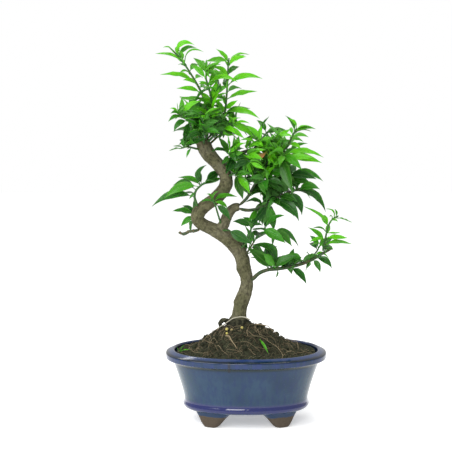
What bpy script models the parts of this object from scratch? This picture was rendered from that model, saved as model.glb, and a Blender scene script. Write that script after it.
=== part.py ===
"""Bonsai tree in an oval glazed pot: pot, drainage screens, soil, trunk and leafy shoots.

Metres, +Z up. The front of the pot looks along -Y. The origin is at the bottom centre of the
whole object's box, on the surface that the feet stand on.
"""

import math

import bmesh
import bpy
from mathutils import Matrix, Vector
from mathutils.bvhtree import BVHTree

MM = 0.001

# ---- driving dimensions, in metres -------------------------------------------------------

POT_LENGTH = 150 * MM          # over the rim, left to right
POT_DEPTH = 120 * MM           # over the rim, front to back
POT_HEIGHT = 68 * MM           # feet to the top of the rim
OVAL_POWER = 2.25              # 2 is an ellipse, and more is squarer
RIM_WIDTH = 8.5 * MM           # the rim's top, from its inner edge to its outer edge
RIM_FALL = 3 * MM              # how far the rim's top falls towards the outside
LIP_HEIGHT = 5.5 * MM          # the rim's upright outer face
WAIST_INSET = 17 * MM          # how far the wall's foot stands inside the rim
WALL = 5 * MM
FLOOR = 5 * MM
FLOOR_FILLET = 4 * MM
FOOT_HEIGHT = 13.5 * MM
OVAL_SIDES = 44
FOOT_SPREAD = 0.385             # half the angle that a foot takes up along the oval, in radians
FOOT_ANGLE = 0.93              # each foot's middle, from the oval's long axis, in radians
FOOT_DEPTH = 13 * MM
DRAIN_RADIUS = 6 * MM
DRAIN_SPACING = 56 * MM        # between the two drain holes
SCREEN_SIDE = 20 * MM
SCREEN_THICKNESS = 1 * MM
SCREEN_BAR = 1.6 * MM
SCREEN_CELLS = 4

SOIL_BELOW_RIM = 3.5 * MM
PELLET_LIFT = 1.35             # a pellet's middle above the sloping soil, as a share of its radius
MOUND_HEIGHT = 27 * MM         # the mound's top above the soil's edge
MOUND_TOP = Vector((-5 * MM, 0, 0))   # the mound's top, from the pot's middle
GAP = 0.3 * MM                 # between pieces that touch

TREE_SIZE = 1.0                # scales the whole tree about the foot of its trunk
TRUNK_GIRTH = 1.0              # scales the trunk's thickness
LEAF_WIDTH = 0.34              # a leaf's width, as a share of its length
WIDEST_LEAF = 9.5 * MM
LEAF_KEEL = 0.8 * MM           # a blade's depth at its midrib
LEAF_LENGTH = 21 * MM          # a filling leaf's usual length
SEAM = 0.6 * MM                # half the height of the band that a leaf stands on

# the heights at which both the pot's inner wall and the soil's side turn, from the top down
INNER_HEIGHTS = [POT_HEIGHT - 10 * MM - share * (POT_HEIGHT - FOOT_HEIGHT - FLOOR - 15 * MM)
                 for share in (0, 0.35, 0.7, 1)]

# The tree's points below are in millimetres from the pot's centre, with the rim at this height.
RIM_DATUM = 68
TRUNK_FOOT = Vector((-6, 0, 92))

# ---- the woody frame: (x, y, z, radius) in millimetres, from the foot upwards -----------------

TRUNK = [(-9, 1, 74, 8.5), (-8, 0, 86, 10.5), (-7.3, 0, 93, 9.2), (-6.6, 0, 99, 7.0),
         (-5.5, 0, 106, 6.4), (-3.8, 0, 113, 6.7), (-1.2, 1, 120, 6.3), (0.7, 2, 128, 5.8),
         (0, 2, 135, 5.8), (-2, 2, 142, 6.1), (-3.4, 2, 150, 6.1), (-6.5, 2, 158, 6.3),
         (-11.5, 2, 165, 6.8), (-18, 1, 171.5, 7.0), (-25.5, 0, 176.5, 6.7),
         (-33, -1, 180.3, 5.9), (-40, -2, 183.6, 5.7), (-44.6, -3, 188.5, 5.9),
         (-43.6, -4, 195, 6.2), (-38.5, -5, 200.8, 6.0), (-31.5, -5, 206, 5.7),
         (-25, -4, 211, 6.3), (-20.4, -2, 217, 6.0), (-18.6, 0, 224, 5.6),
         (-20, 1, 230.5, 5.7), (-24.5, 2, 237, 5.9), (-30.5, 3, 243.5, 6.2),
         (-35.8, 3, 250, 6.6), (-39.2, 3, 256.5, 6.6), (-40.6, 2, 262, 6.0)]
LIMB = [(-27, 0, 177, 4.5), (-21.5, -1, 182.5, 4.8), (-18.3, -1, 189.5, 4.3),
        (-15, -1, 195.6, 4.0), (-10.8, -1, 199.3, 3.8), (-6.4, -1, 199.8, 3.4)]
ROOTS = [
    [(-9, 0, 91, 4.5), (-15, -3, 93.5, 2.4), (-20, -4, 94.5, 1.8), (-24, -4, 91.5, 1.6),
     (-25, -5, 82, 1.4)],
    [(-6, 0, 92, 5.5), (0, -1, 91, 4.5), (5, -2, 86, 3.6), (10, -3, 76, 2.4)],
    [(-7, -3, 90, 5), (-9, -10, 84, 3.6), (-13, -19, 77, 2.6), (-16, -27, 67, 1.8)],
    [(-6, 3, 90, 5), (-4, 11, 85, 3.6), (-2, 20, 77, 2.6), (0, 28, 67, 1.8)],
    [(-10, 1, 88, 5), (-17, 6, 80, 3), (-26, 10, 70, 2), (-34, 13, 60, 1.4)],
]

# ---- the leafy shoots --------------------------------------------------------------------
#
# name: (what it grows from, its thickness at both ends, how many pairs of filling leaves,
#        the points that its stem passes, the first inside what it grows from,
#        its own leaves: place on the stem from 0 to 1, tip x, y, z, and then, if they aren't
#        the usual ones, the face's tilt from upwards (0) to the front (90), and the arch)

USUAL_TILT, USUAL_ARCH = 35, 2

SHOOTS = {
    "upper_branch": ("trunk", (2.0, 1.1), 5,
        [(-24, 2, 236), (-15, -1, 244), (-5, -2, 249.5), (6, 0, 252.5), (17, 2, 253.5),
         (28, 3, 252), (36, 2, 250)],
        [(.30, -19, -16, 231, 60), (.45, 3, 14, 262, 40), (.62, 8, -18, 262, 60)]),
    "rising_branch": ("trunk", (1.5, 0.9), 4,
        [(-8, -1, 199.8), (-1, -2, 206), (4, -2, 213.5), (8, -2, 221), (12, -3, 229),
         (16, -4, 236), (19, -5, 242)],
        [(.98, 43, -12, 240.5, 45, -1), (.86, 40, -14, 235, 60, -3), (.90, -7, -15, 239, 80),
         (.70, 25, -16, 228.5, 75, 0), (.66, 18, -10, 211, 80, 0), (.74, -4, -17, 232, 70),
         (.45, 14, 12, 208, 50), (.55, -8, 12, 214, 50)]),
    "side_branch": ("trunk", (1.5, 0.8), 3,
        [(-9, -2, 199), (0, -4, 196.5), (9, -4, 198), (18, -3, 202), (26, -2, 207),
         (35, -1, 211.5), (43, 0, 214.5), (51, 1, 217)],
        [(.62, 44, -9, 191.5, 80, 2), (.68, 51, -4, 192, 65, 6), (.50, 48, -8, 187.5, 55, 6),
         (.88, 73, -4, 195, 35, 6), (.94, 67, -8, 217, 60, 3), (.42, 6, -13, 186, 88, 0),
         (.33, 10.5, -8, 208, 70, 0), (.36, -1, -9, 204, 30, 3), (.40, 25, -10, 178, 85, 2),
         (.27, 1, -14, 188, 80, 0), (.58, 20, 16, 196, 40), (.75, 46, 20, 208, 30)]),
    "low_branch": ("trunk", (2.0, 1.2), 2,
        [(0, 1, 128), (7, -3, 133), (12, -5, 140), (18, -6, 142), (29, -6, 143),
         (40, -5, 144.5), (51, -3, 147), (61, -1, 151), (70, 1, 156), (80, 2, 161.5)],
        [(.27, 0, -13, 164.5, 70, 0), (.24, 3, -2, 153.5, 10), (.29, 5, -8, 165.5, 45, 9),
         (.31, 47, -12, 156, 60, 2), (.62, 36, -10, 156, 60), (.33, 27, -13, 135.5, 80, 0),
         (.35, 49, -2, 150.5, 30, -1), (.78, 79, -4, 143, 60, 3), (.74, 68, -8, 139.5, 50),
         (.70, 55, -9, 159, 40), (.45, 30, 12, 152, 30), (.66, 58, 18, 140, 30),
         (.52, 52, 16, 152, 30)]),
    "low_branch_riser": ("low_branch", (1.1, 0.6), 0,
        [(70.5, 1, 156.3), (72, 0, 165), (74, 0, 175), (76, 0, 182.5), (79, 0, 188),
         (85, 0, 191.5)],
        [(.24, 57, 4, 180.5, 40, 1), (.30, 58, -6, 168, 40, 1), (.12, 60, -5, 164.5, 15),
         (.48, 61, -3, 180.5, 25, 1.5), (.50, 87, -3, 177, 25, -1.5), (.66, 53, 5, 200, 12, 1),
         (.34, 94, -5, 171.5, 45, 0), (.16, 98, -2, 165.5, 25, 1), (.88, 73, 4, 197.5, 10, 3),
         (.97, 81, 2, 198, 20, 2), (.93, 98, -2, 185.5, 10, 0), (.84, 76, -6, 191, 40),
         (.38, 78, 14, 182, 30), (.60, 70, 13, 191, 30), (.72, 84, -11, 187, 30)]),
    "low_branch_tip": ("low_branch", (1.0, 0.6), 1,
        [(58, -1, 149.8), (61, 8, 152), (66, 15, 156), (69, 20, 161)],
        [(.5, 78, 18, 150, 30), (.9, 78, 30, 166, 30), (.95, 60, 28, 170, 30)]),
    "crown_tip_left": ("trunk", (1.5, 0.6), 1,
        [(-38.5, 2, 259), (-35, 3, 276), (-35, 1, 288), (-39, -1, 300), (-45, -2, 312),
         (-51, -2, 322), (-57, -2, 331), (-64, -1, 339.5), (-70.5, 0, 346)],
        [(.93, -76, -8, 345.5, 30), (.91, -47, -6, 347.5, 70, 6), (.86, -45, 4, 345, 40, 4),
         (.79, -39, -9, 341.5, 25, 6), (.81, -83, -6, 340, 25, 1.5), (.77, -63, -12, 336, 20),
         (.72, -63, 10, 330, 20), (.66, -61, -14, 322.5, 30), (.58, -79, -5, 321, 35, 2),
         (.54, -58, -16, 316, 60), (.46, -64, -7, 308.5, 45, 1), (.41, -62, 8, 301.5, 30, -3),
         (.69, -44, 14, 330, 30), (.60, -40, 14, 318, 30), (.88, -63, 13, 348, 30),
         (.50, -36, 18, 308, 30)]),
    "crown_middle": ("trunk", (1.4, 0.7), 4,
        [(-37.5, -1, 259), (-33, -4, 280), (-32, -6, 296), (-34, -8, 308), (-37, -8, 318),
         (-36, -8, 326)],
        [(.86, -41, -12, 333.5, 85, 4), (.93, -29, -14, 321, 70), (.98, -36.5, -4, 335, 20, 0),
         (.78, -8, -14, 314, 40, 5), (.76, -44, -14, 312, 60), (.55, -26, -12, 317.5, 75, 0),
         (.30, -40, -15, 303, 88, 2), (.33, -26, -16, 304, 88, 0), (.62, 1, -12, 313, 50, 2),
         (.45, -48, -20, 300, 50), (.24, -46, -18, 291, 60), (.40, -20, -20, 298, 50),
         (.20, -24, -18, 288, 60)]),
    "crown_tip_right": ("trunk", (1.4, 0.6), 3,
        [(-38, 4, 259), (-26, 4, 274), (-20, 2, 286), (-18.5, 0, 298), (-17.5, 0, 312),
         (-17, 0, 325), (-16, 1, 336)],
        [(.92, 3, -2, 339, 20, 4), (.90, 0, -10, 337, 60, 2), (.94, -28, 2, 344.5, 50, 1),
         (.97, -38, -4, 328, 45, 0), (.96, -39, 7, 342, 10, 0), (.87, -22, 5, 334, 15),
         (.68, 15, -4, 317, 45, 5), (.52, 10, -8, 306, 40, 1), (.72, -33, -6, 327.5, 65, 5),
         (.40, -8, -14, 298, 88, 0), (.43, -21, 9, 303, 60), (.36, 12, -6, 281, 45, 4),
         (.60, -4, 14, 308, 30), (.80, -6, 14, 328, 30), (.76, -30, 13, 322, 30),
         (.50, -34, 14, 300, 40), (.30, 4, 10, 290, 35)]),
    "crown_left_low": ("trunk", (1.3, 0.6), 1,
        [(-41, -1, 258), (-46, -6, 271), (-52, -8, 278.5), (-58, -9, 282.5), (-63, -9, 286)],
        [(.97, -63, -10, 296, 75, 0), (.95, -70, -6, 290.5, 60), (.91, -69, -15, 286, 50),
         (.84, -41, -15, 297, 70, 4), (.76, -22, -21, 286, 15, -2), (.66, -66, -12, 269, 50, 3),
         (.60, -56, -15, 258.5, 70, 3), (.52, -33, -18, 280, 50), (.70, -66, 8, 280, 30),
         (.42, -58, 8, 268, 40)]),
    "crown_left_under": ("trunk", (1.1, 0.6), 0,
        [(-39, 1, 251), (-48, -4, 254), (-54, -6, 255.5), (-60, -6, 254)],
        [(.97, -71, -6, 252, 12, 0), (.88, -67, -10, 256.5, 15, 0), (.45, -55, -9, 245.5, 10, 0),
         (.75, -36, -14, 263, 55, 1), (.60, -62, 6, 261, 35), (.80, -50, -16, 263, 30)]),
    "crown_right_low": ("trunk", (1.3, 0.7), 3,
        [(-38, 0, 257), (-28, -6, 267), (-20, -9, 273), (-12, -10, 275.5)],
        [(.76, -5, -12, 282, 40), (.92, 3, -14, 277, 35), (.85, -2, -18, 263.5, 60, 0),
         (.97, 7, -10, 264, 60), (.60, -25, -21, 262, 70), (.66, -28, -18, 281, 60)]),
    "crown_front": ("trunk", (1.2, 0.7), 4,
        [(-39, 0, 255), (-39, -12, 264), (-39, -19, 273), (-40, -23, 282)],
        [(.35, -54, -14, 269, 35), (.45, -55, -20, 262.5, 45), (.55, -24, -24, 268, 60)]),
    "crown_back": ("trunk", (1.4, 0.7), 5,
        [(-38, 4, 258), (-34, 15, 273), (-31, 21, 287), (-31, 24, 302)], []),
    "crown_back_left": ("trunk", (1.3, 0.7), 4,
        [(-41, 4, 257), (-47, 14, 268), (-51, 19, 280), (-54, 22, 291)], []),
    "crown_back_right": ("trunk", (1.3, 0.7), 4,
        [(-37, 4, 255), (-26, 15, 264), (-16, 20, 271), (-6, 23, 276)], []),
    "crown_back_low": ("trunk", (1.2, 0.7), 3,
        [(-36, 4, 250), (-40, 15, 254), (-46, 23, 259), (-52, 29, 263)], []),
    "front_upright": ("upper_branch", (1.1, 0.7), 1,
        [(-14, -1, 244.5), (-15, -10, 247), (-16, -16, 250.5)],
        [(.95, -17, -20, 267, 88, 0), (.90, -26, -18, 265.5, 70, 0), (.80, -25, -21, 253, 60),
         (.70, -23, -17, 240, 85, 0), (.60, -5, -20, 262, 25, 3)]),
    "front_top": ("upper_branch", (1.0, 0.6), 1,
        [(6, 0, 252.5), (9, -8, 257), (13, -12, 261.5)],
        [(.96, 0, -20, 254, 80, 1), (.92, -3, -8, 275.5, 45), (.80, 14, -4, 275, 10),
         (.97, 24, -17, 262, 40), (.60, -6, -16, 262, 40)]),
    "front_middle": ("upper_branch", (1.0, 0.6), 1,
        [(15, 2, 253.5), (18, -8, 253), (20, -14, 251)],
        [(.97, 25, -20, 240, 88, 0), (.85, -4, -20, 249.5, 50, -5), (.60, 4, -15, 258, 60),
         (.92, 33, -20, 254, 45), (.75, 11, -24, 243, 60, 0)]),
    "right_top": ("upper_branch", (1.1, 0.6), 1,
        [(20, 2, 253.5), (24, -1, 258), (27, -3, 260.5), (30, -3, 264)],
        [(.72, 41, -6, 271.5, 50, 1), (.62, 38, 6, 269, 30), (.85, 25, -5, 268, 60, 0),
         (.97, 19, 6, 276.5, 8, 0), (.55, 9, 3, 270, 10, 0), (.80, 22, -14, 262, 45)]),
    "right_tip": ("upper_branch", (1.1, 0.6), 1,
        [(33, 2.5, 250.8), (38, 0, 255), (40.5, -1, 262), (43.5, -1, 268), (46, -1, 272.5)],
        [(.98, 37.5, -3, 281, 65, 2), (.95, 60, 0, 273, 10, 2), (.75, 60, 4, 269, 15, 2),
         (.60, 57, -6, 264, 55, 2), (.42, 52.5, -5, 259.5, 35), (.55, 36.5, -4, 267, 15),
         (.38, 33, -9, 258, 50), (.30, 50, -13, 253, 50), (.66, 40, 13, 272, 30),
         (.48, 50, 14, 262, 30)]),
    "right_reach": ("upper_branch", (1.1, 0.6), 2,
        [(26, 3, 252.4), (31, -6, 249.5), (36, -10, 246)],
        [(.80, 71, -9, 245.5, 40, 4), (.98, 61, -17, 246.5, 50, 0), (.93, 69.5, -12, 240.5, 75, 2),
         (.60, 42, -16, 213.5, 60, 0), (.70, 20, -18, 246, 50), (.88, 50, -19, 235, 60)]),
    "right_low": ("side_branch", (1.1, 0.6), 2,
        [(35.5, -1, 211.7), (37.5, 2, 220), (39, 3, 229)],
        [(.96, 71, 2, 223, 40, 5), (.90, 64, -6, 226, 50, 2), (.70, 60, -10, 220.5, 60, 2),
         (.50, 26, -10, 222, 60), (.80, 24, 12, 230, 40), (.92, 34, -10, 238, 60)]),
    "right_back_top": ("upper_branch", (1.2, 0.7), 3,
        [(9, 0.5, 252.8), (12, 13, 258), (16, 21, 263), (20, 27, 268)], []),
    "right_back": ("upper_branch", (1.2, 0.7), 4,
        [(23, 2.5, 252.9), (28, 14, 251), (34, 21, 249), (41, 27, 247)], []),
    "right_back_low": ("rising_branch", (1.2, 0.7), 4,
        [(12, -3, 229), (14, 8, 231), (20, 17, 234), (27, 24, 236)], []),
    "right_front_low": ("rising_branch", (1.1, 0.7), 2,
        [(8, -2, 221), (13, -11, 224), (19, -17, 226)],
        [(.7, 8, -20, 234, 60), (.95, 33, -19, 220, 60)]),
    "middle_front": ("upper_branch", (1.1, 0.7), 2,
        [(-2, -1.5, 250.6), (0, -12, 246), (3, -18, 242)],
        [(.9, -12, -22, 236, 70), (.95, 17, -22, 236, 80, 0)]),
    "middle_back": ("side_branch", (1.1, 0.7), 3,
        [(18, -3, 202), (20, 8, 205), (25, 17, 209), (31, 23, 213)], []),
    "trunk_shoot_right": ("trunk", (1.1, 0.7), 1,
        [(-18, 0, 228.5), (-12, -9, 231), (-8, -12, 231)],
        [(.92, 3, -16, 213.5, 55, 1), (.70, -3, -9, 207, 80, 0), (.80, -20, -14, 238, 60),
         (.88, -7, -15, 242, 50)]),
    "trunk_shoot_back": ("trunk", (1.2, 0.7), 4,
        [(-19, 1, 226), (-16, 12, 229), (-11, 20, 233), (-4, 26, 237)], []),
    "trunk_shoot_low": ("trunk", (1.3, 0.8), 1,
        [(-8, 1, 160.5), (-1, -8, 166), (3, -10, 173), (4, -11, 180), (6, -11, 184)],
        [(.90, -13, -13, 187.5, 65), (.97, -3.5, -11, 190.5, 30), (.78, 7.5, -14, 168, 75, 0),
         (.94, 15, -16, 184, 40), (.60, 16, 4, 172, 40)]),
    "low_side_shoot": ("trunk_shoot_low", (1.0, 0.6), 1,
        [(4, -11, 180), (14, -7, 180.5), (24, -5, 178)],
        [(.96, 42, -6, 163.5, 55, 2), (.98, 49, -2, 161.5, 40, 4), (.45, 36, -13, 167.5, 60, 1),
         (.60, 22, 8, 188, 40)]),
    "trunk_bend_sprout": ("trunk", (1.1, 0.8), 0,
        [(-23, 0, 176), (-20, -9, 179.5), (-17, -12, 179.5)],
        [(.95, 5, -15, 166.5, 88, 1)]),
    "loop_sprout": ("trunk", (1.0, 0.6), 0,
        [(-23, -1, 181), (-25, -10, 190), (-27, -13, 197), (-29, -14, 204), (-32, -14, 208)],
        [(.78, -15, -17, 189, 75, 2), (.95, -42, -15, 205.5, 30, 1), (.98, -25, -15, 216, 30, 2),
         (.90, -37, -16, 213, 60), (.86, -17, -16, 199, 60), (.93, -8, -15, 210, 30)]),
    "left_shoot": ("trunk", (1.5, 0.8), 0,
        [(-42, -3, 196), (-45.5, -10, 203), (-47.5, -11, 210), (-46, -11, 216),
         (-42, -10, 220), (-38, -9, 223)],
        [(.34, -87, -10, 200.5, 55, 6), (.72, -75, -14, 208.5, 75, 5), (.78, -36, -13, 239.5, 75, 5),
         (.82, -63, -5, 227, 30), (.68, -52.5, -17, 208, 60, 0), (.50, -61, -6, 213.5, 12, -1),
         (.88, -22, 4, 226, 35, 0), (.97, -23, 6, 231, 60), (.93, -29, -13, 224, 10),
         (.60, -68, -4, 219, 55, 4), (.85, -46, 6, 232, 40)]),
    "left_back_shoot": ("trunk", (1.1, 0.7), 2,
        [(-44.5, -3, 189), (-46, 6, 190), (-49, 12, 191)],
        [(.80, -61, 9, 180.5, 75, 1), (.95, -60, 20, 199, 30)]),
    "low_back_shoot": ("trunk", (1.2, 0.7), 3,
        [(-3, 2, 148), (-1, 11, 152), (3, 19, 158), (8, 25, 165)], []),
}
DEAD_TWIG = [(-36, -1, 181), (-46, -7, 178.4), (-52, -8, 178.2), (-57, -8, 175.6),
             (-62, -8, 176.6)]
DEAD_TWIG_GIRTH = (1.3, 1.1)

# leaves lying on the soil: base x, y, and tip x, y, in millimetres
FALLEN_LEAVES = {"fallen_leaf_left": (-61, -9, -50, -12), "fallen_leaf_right": (12, -22, 20, -35)}

# fertiliser pellets on the soil: x, y and radius, in millimetres
PELLETS = {"pellet_1": (-18, -13, 1.5), "pellet_2": (-13.5, -15, 1.3), "pellet_3": (-4, -14, 1.4),
           "pellet_4": (-18, -17.5, 1.3)}

# ---- materials -------------------------------------------------------------------------------


def material(name, colour, roughness, metallic=0.0):
    made = bpy.data.materials.new(name)
    made.use_nodes = True
    shader = made.node_tree.nodes["Principled BSDF"]
    shader.inputs["Base Color"].default_value = (*colour, 1)
    shader.inputs["Roughness"].default_value = roughness
    shader.inputs["Metallic"].default_value = metallic
    made.diffuse_color = (*colour, 1)
    return made


# ---- meshes and small geometry ---------------------------------------------------------------


def add_object(name, points, faces, finish=None, helper=False):
    """One object from points and faces; a helper is a cutter or a form, and isn't part of the model."""
    mesh = bpy.data.meshes.new(name)
    mesh.from_pydata([tuple(p) for p in points], [], faces)
    mesh.validate()
    made = bpy.data.objects.new(name, mesh)
    bpy.context.scene.collection.objects.link(made)
    if finish:
        mesh.materials.append(finish)
    if helper:
        made.hide_render = True
        made.display_type = "WIRE"
    return made


def shade_round(made, angle=math.radians(40)):
    made.data.shade_smooth()
    made.data.set_sharp_from_angle(angle=angle)


def combine(target, other, operation):
    step = target.modifiers.new(f"{operation.lower()} {other.name}", "BOOLEAN")
    step.operation = operation
    step.object = other
    return step


def evaluated_tree(made):
    """A search tree over the object as its modifiers leave it."""
    return BVHTree.FromObject(made, bpy.context.evaluated_depsgraph_get())


def tree_point(x, y, z):
    """A point of the tree, from the table's millimetres to metres on this pot."""
    spot = (Vector((x, y, z)) - TRUNK_FOOT) * TREE_SIZE + TRUNK_FOOT
    return spot * MM + Vector((0, 0, POT_HEIGHT - RIM_DATUM * MM))


def curve_through(points, spacing):
    """Points about this far apart on a Catmull-Rom curve through the given vectors, which may have
    a radius or any other value as their last number."""
    ends = [2 * points[0] - points[1], *points, 2 * points[-1] - points[-2]]
    made = []
    for p0, p1, p2, p3 in zip(ends, ends[1:], ends[2:], ends[3:]):
        steps = max(1, round((p2 - p1).length / spacing))
        for i in range(steps):
            t = i / steps
            made.append(0.5 * ((2 * p1) + (p2 - p0) * t + (2 * p0 - 5 * p1 + 4 * p2 - p3) * t * t
                               + (3 * p1 - p0 - 3 * p2 + p3) * t ** 3))
    made.append(points[-1].copy())
    return made


def frames_along(centres):
    """For each centre, two unit vectors across the line, turning as little as they can."""
    heading = (centres[1] - centres[0]).normalized()
    across = heading.orthogonal().normalized()
    found = []
    for i in range(len(centres)):
        ahead = centres[min(i + 1, len(centres) - 1)] - centres[max(i - 1, 0)]
        ahead.normalize()
        across = (across - ahead * across.dot(ahead)).normalized()
        found.append((across.copy(), ahead.cross(across)))
    return found


def tube(centres, radii, sides):
    """Points and triangles of a closed round tube; ring i holds points i * sides onwards."""
    points, faces = [], []
    for centre, radius, (u, v) in zip(centres, radii, frames_along(centres)):
        for k in range(sides):
            turn = 2 * math.pi * (k + 0.5) / sides
            points.append(centre + (u * math.cos(turn) + v * math.sin(turn)) * radius)
    for ring in range(len(centres) - 1):
        for k in range(sides):
            a, b = ring * sides + k, ring * sides + (k + 1) % sides
            faces += [(a, b, b + sides), (a, b + sides, a + sides)]
    last = (len(centres) - 1) * sides
    for k in range(1, sides - 1):
        faces += [(0, k + 1, k), (last, last + k, last + k + 1)]
    return points, faces


# ---- the pot ---------------------------------------------------------------------------------


def oval_point(angle, inset, height):
    """A point on the pot's oval, the inset inside the rim's outer edge."""
    c, s = math.cos(angle), math.sin(angle)
    share = 2 / OVAL_POWER
    x = math.copysign(abs(c) ** share, c) * (POT_LENGTH / 2 - inset)
    y = math.copysign(abs(s) ** share, s) * (POT_DEPTH / 2 - inset)
    return Vector((x, y, height))


def arc(centre, radii, start, end, steps):
    """Points (inset, height) on part of an ellipse, with the angles in degrees."""
    found = []
    for i in range(steps + 1):
        a = math.radians(start + (end - start) * i / steps)
        found.append((centre[0] + radii[0] * math.cos(a), centre[1] + radii[1] * math.sin(a)))
    return found


def outer_wall(height):
    """The wall's inset at a height: upright at its foot and flaring to the rim's underside."""
    top = POT_HEIGHT - RIM_FALL - LIP_HEIGHT
    low = FOOT_HEIGHT + 9 * MM
    share = min(1, max(0, (height - low) / (top - low)))
    return WAIST_INSET - (WAIST_INSET - 5.5 * MM) * share ** 1.2


def pot_profile():
    """(inset, height) from the middle of the underside, round the outside, to the inner floor."""
    lip_top = POT_HEIGHT - RIM_FALL
    lip_foot = lip_top - LIP_HEIGHT
    foot_roll = (WAIST_INSET + 3.5 * MM, FOOT_HEIGHT + 4.5 * MM)
    profile = arc(foot_roll, (4.5 * MM, 4.5 * MM), 270, 180, 4)
    profile += [(outer_wall(FOOT_HEIGHT + h), FOOT_HEIGHT + h) for h in (9 * MM, 19 * MM, 28 * MM)]
    profile += [(outer_wall(lip_foot - d), lip_foot - d) for d in (9 * MM, 2 * MM)]
    profile += [(1.5 * MM, lip_foot), (0, lip_foot + 1.2 * MM), (0, lip_top - 1.2 * MM)]
    profile += [(1.0 * MM, lip_top), (RIM_WIDTH - 1 * MM, POT_HEIGHT), (RIM_WIDTH, POT_HEIGHT - 1 * MM)]
    profile += [(inner_wall(height), height) for height in INNER_HEIGHTS]
    profile.append((inner_wall(FOOT_HEIGHT + FLOOR) + FLOOR_FILLET, FOOT_HEIGHT + FLOOR))
    return profile


def inner_wall(height):
    return max(RIM_WIDTH, outer_wall(height) + WALL)


def oval_shell(profile, sides):
    """Points and faces of a solid whose oval rings follow the profile, closed at both ends."""
    points = [oval_point(2 * math.pi * k / sides, inset, height)
              for inset, height in profile for k in range(sides)]
    faces = []
    for ring in range(len(profile) - 1):
        for k in range(sides):
            a, b = ring * sides + k, ring * sides + (k + 1) % sides
            faces.append((a, b, b + sides, a + sides))
    faces.append(tuple(range(sides))[::-1])
    last = (len(profile) - 1) * sides
    faces.append(tuple(range(last, last + sides)))
    return points, faces


def foot_form(name, middle):
    """One foot: a piece of the oval's ring that narrows downwards to a small flat bottom."""
    # (height, share of the foot's spread, how far its outer and its inner side stand back)
    levels = [(FOOT_HEIGHT + 3 * MM, 1.0, 0, 0), (FOOT_HEIGHT, 1.0, 0, 0),
              (FOOT_HEIGHT - 2.2 * MM, 0.86, 0, 0.3 * MM), (0.60 * FOOT_HEIGHT, 0.72, 0.1 * MM, 1 * MM),
              (0.37 * FOOT_HEIGHT, 0.57, 0.3 * MM, 2 * MM), (0.14 * FOOT_HEIGHT, 0.42, 0.7 * MM, 3 * MM),
              (0, 0.28, 1.6 * MM, 4 * MM)]
    steps = 6
    points, faces = [], []
    outside = WAIST_INSET + 2.5 * MM
    for height, spread, outer_back, inner_back in levels:
        for side, inset in ((1, outside + outer_back), (-1, outside + FOOT_DEPTH - inner_back)):
            for k in range(steps + 1):
                turn = side * (2 * k / steps - 1) * FOOT_SPREAD * spread
                points.append(oval_point(middle + turn, inset, height))
    ring = 2 * (steps + 1)
    for level in range(len(levels) - 1):
        for k in range(ring):
            a, b = level * ring + k, level * ring + (k + 1) % ring
            faces.append((a, a + ring, b + ring, b))
    faces.append(tuple(range(ring)))
    last = (len(levels) - 1) * ring
    faces.append(tuple(range(last, last + ring))[::-1])
    return add_object(name, points, faces, helper=True)


def make_pot(finish):
    pot = add_object("pot", *oval_shell(pot_profile(), OVAL_SIDES), finish)
    for n, middle in enumerate((FOOT_ANGLE, math.pi - FOOT_ANGLE, math.pi + FOOT_ANGLE, -FOOT_ANGLE)):
        combine(pot, foot_form(f"foot_form_{n + 1}", middle), "UNION")
    for n, side in enumerate((-1, 1)):
        hole = bpy.data.meshes.new("drain_cutter")
        form = bmesh.new()
        bmesh.ops.create_cone(form, cap_ends=True, segments=16, radius1=DRAIN_RADIUS,
                              radius2=DRAIN_RADIUS, depth=4 * FLOOR)
        form.to_mesh(hole)
        form.free()
        cutter = bpy.data.objects.new(f"drain_cutter_{n + 1}", hole)
        bpy.context.scene.collection.objects.link(cutter)
        cutter.location = (side * DRAIN_SPACING / 2, 0, FOOT_HEIGHT + FLOOR / 2)
        cutter.hide_render = True
        cutter.display_type = "WIRE"
        combine(pot, cutter, "DIFFERENCE")
    shade_round(pot)
    return pot


def make_screen(name, x, finish):
    """A square plastic screen over a drain hole: a plate with rows of square holes."""
    cell = (SCREEN_SIDE - SCREEN_BAR) / SCREEN_CELLS
    edges = [-SCREEN_SIDE / 2]
    for k in range(SCREEN_CELLS):
        start = -SCREEN_SIDE / 2 + SCREEN_BAR + k * cell
        edges += [start, start + cell - SCREEN_BAR]
    edges.append(SCREEN_SIDE / 2)
    n = len(edges)
    form = bmesh.new()
    grid = [[form.verts.new((a, b, 0)) for b in edges] for a in edges]
    for i in range(n - 1):
        for j in range(n - 1):
            if not (i % 2 and j % 2):
                form.faces.new((grid[i][j], grid[i + 1][j], grid[i + 1][j + 1], grid[i][j + 1]))
    rise = bmesh.ops.extrude_face_region(form, geom=form.faces[:])
    lifted = [g for g in rise["geom"] if isinstance(g, bmesh.types.BMVert)]
    bmesh.ops.translate(form, verts=lifted, vec=(0, 0, SCREEN_THICKNESS))
    bmesh.ops.recalc_face_normals(form, faces=form.faces[:])
    mesh = bpy.data.meshes.new(name)
    form.to_mesh(mesh)
    form.free()
    mesh.materials.append(finish)
    made = bpy.data.objects.new(name, mesh)
    bpy.context.scene.collection.objects.link(made)
    made.location = (x, 0, FOOT_HEIGHT + FLOOR + GAP)
    return made


# ---- the soil --------------------------------------------------------------------------------


def mound(share, angle):
    """The soil's height at a share of the way out from the middle, before the last ring."""
    edge = POT_HEIGHT - SOIL_BELOW_RIM
    slope = (0.5 + 0.5 * math.cos(math.pi * min(1, share * 1.04))) ** 0.85
    lumps = math.sin(3 * angle + 1) + 0.7 * math.sin(5 * angle + 4 * share) + 0.5 * math.sin(9 * share + angle)
    return edge + MOUND_HEIGHT * slope + 0.9 * MM * lumps * min(1, 4 * share * (1 - share))


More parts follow.
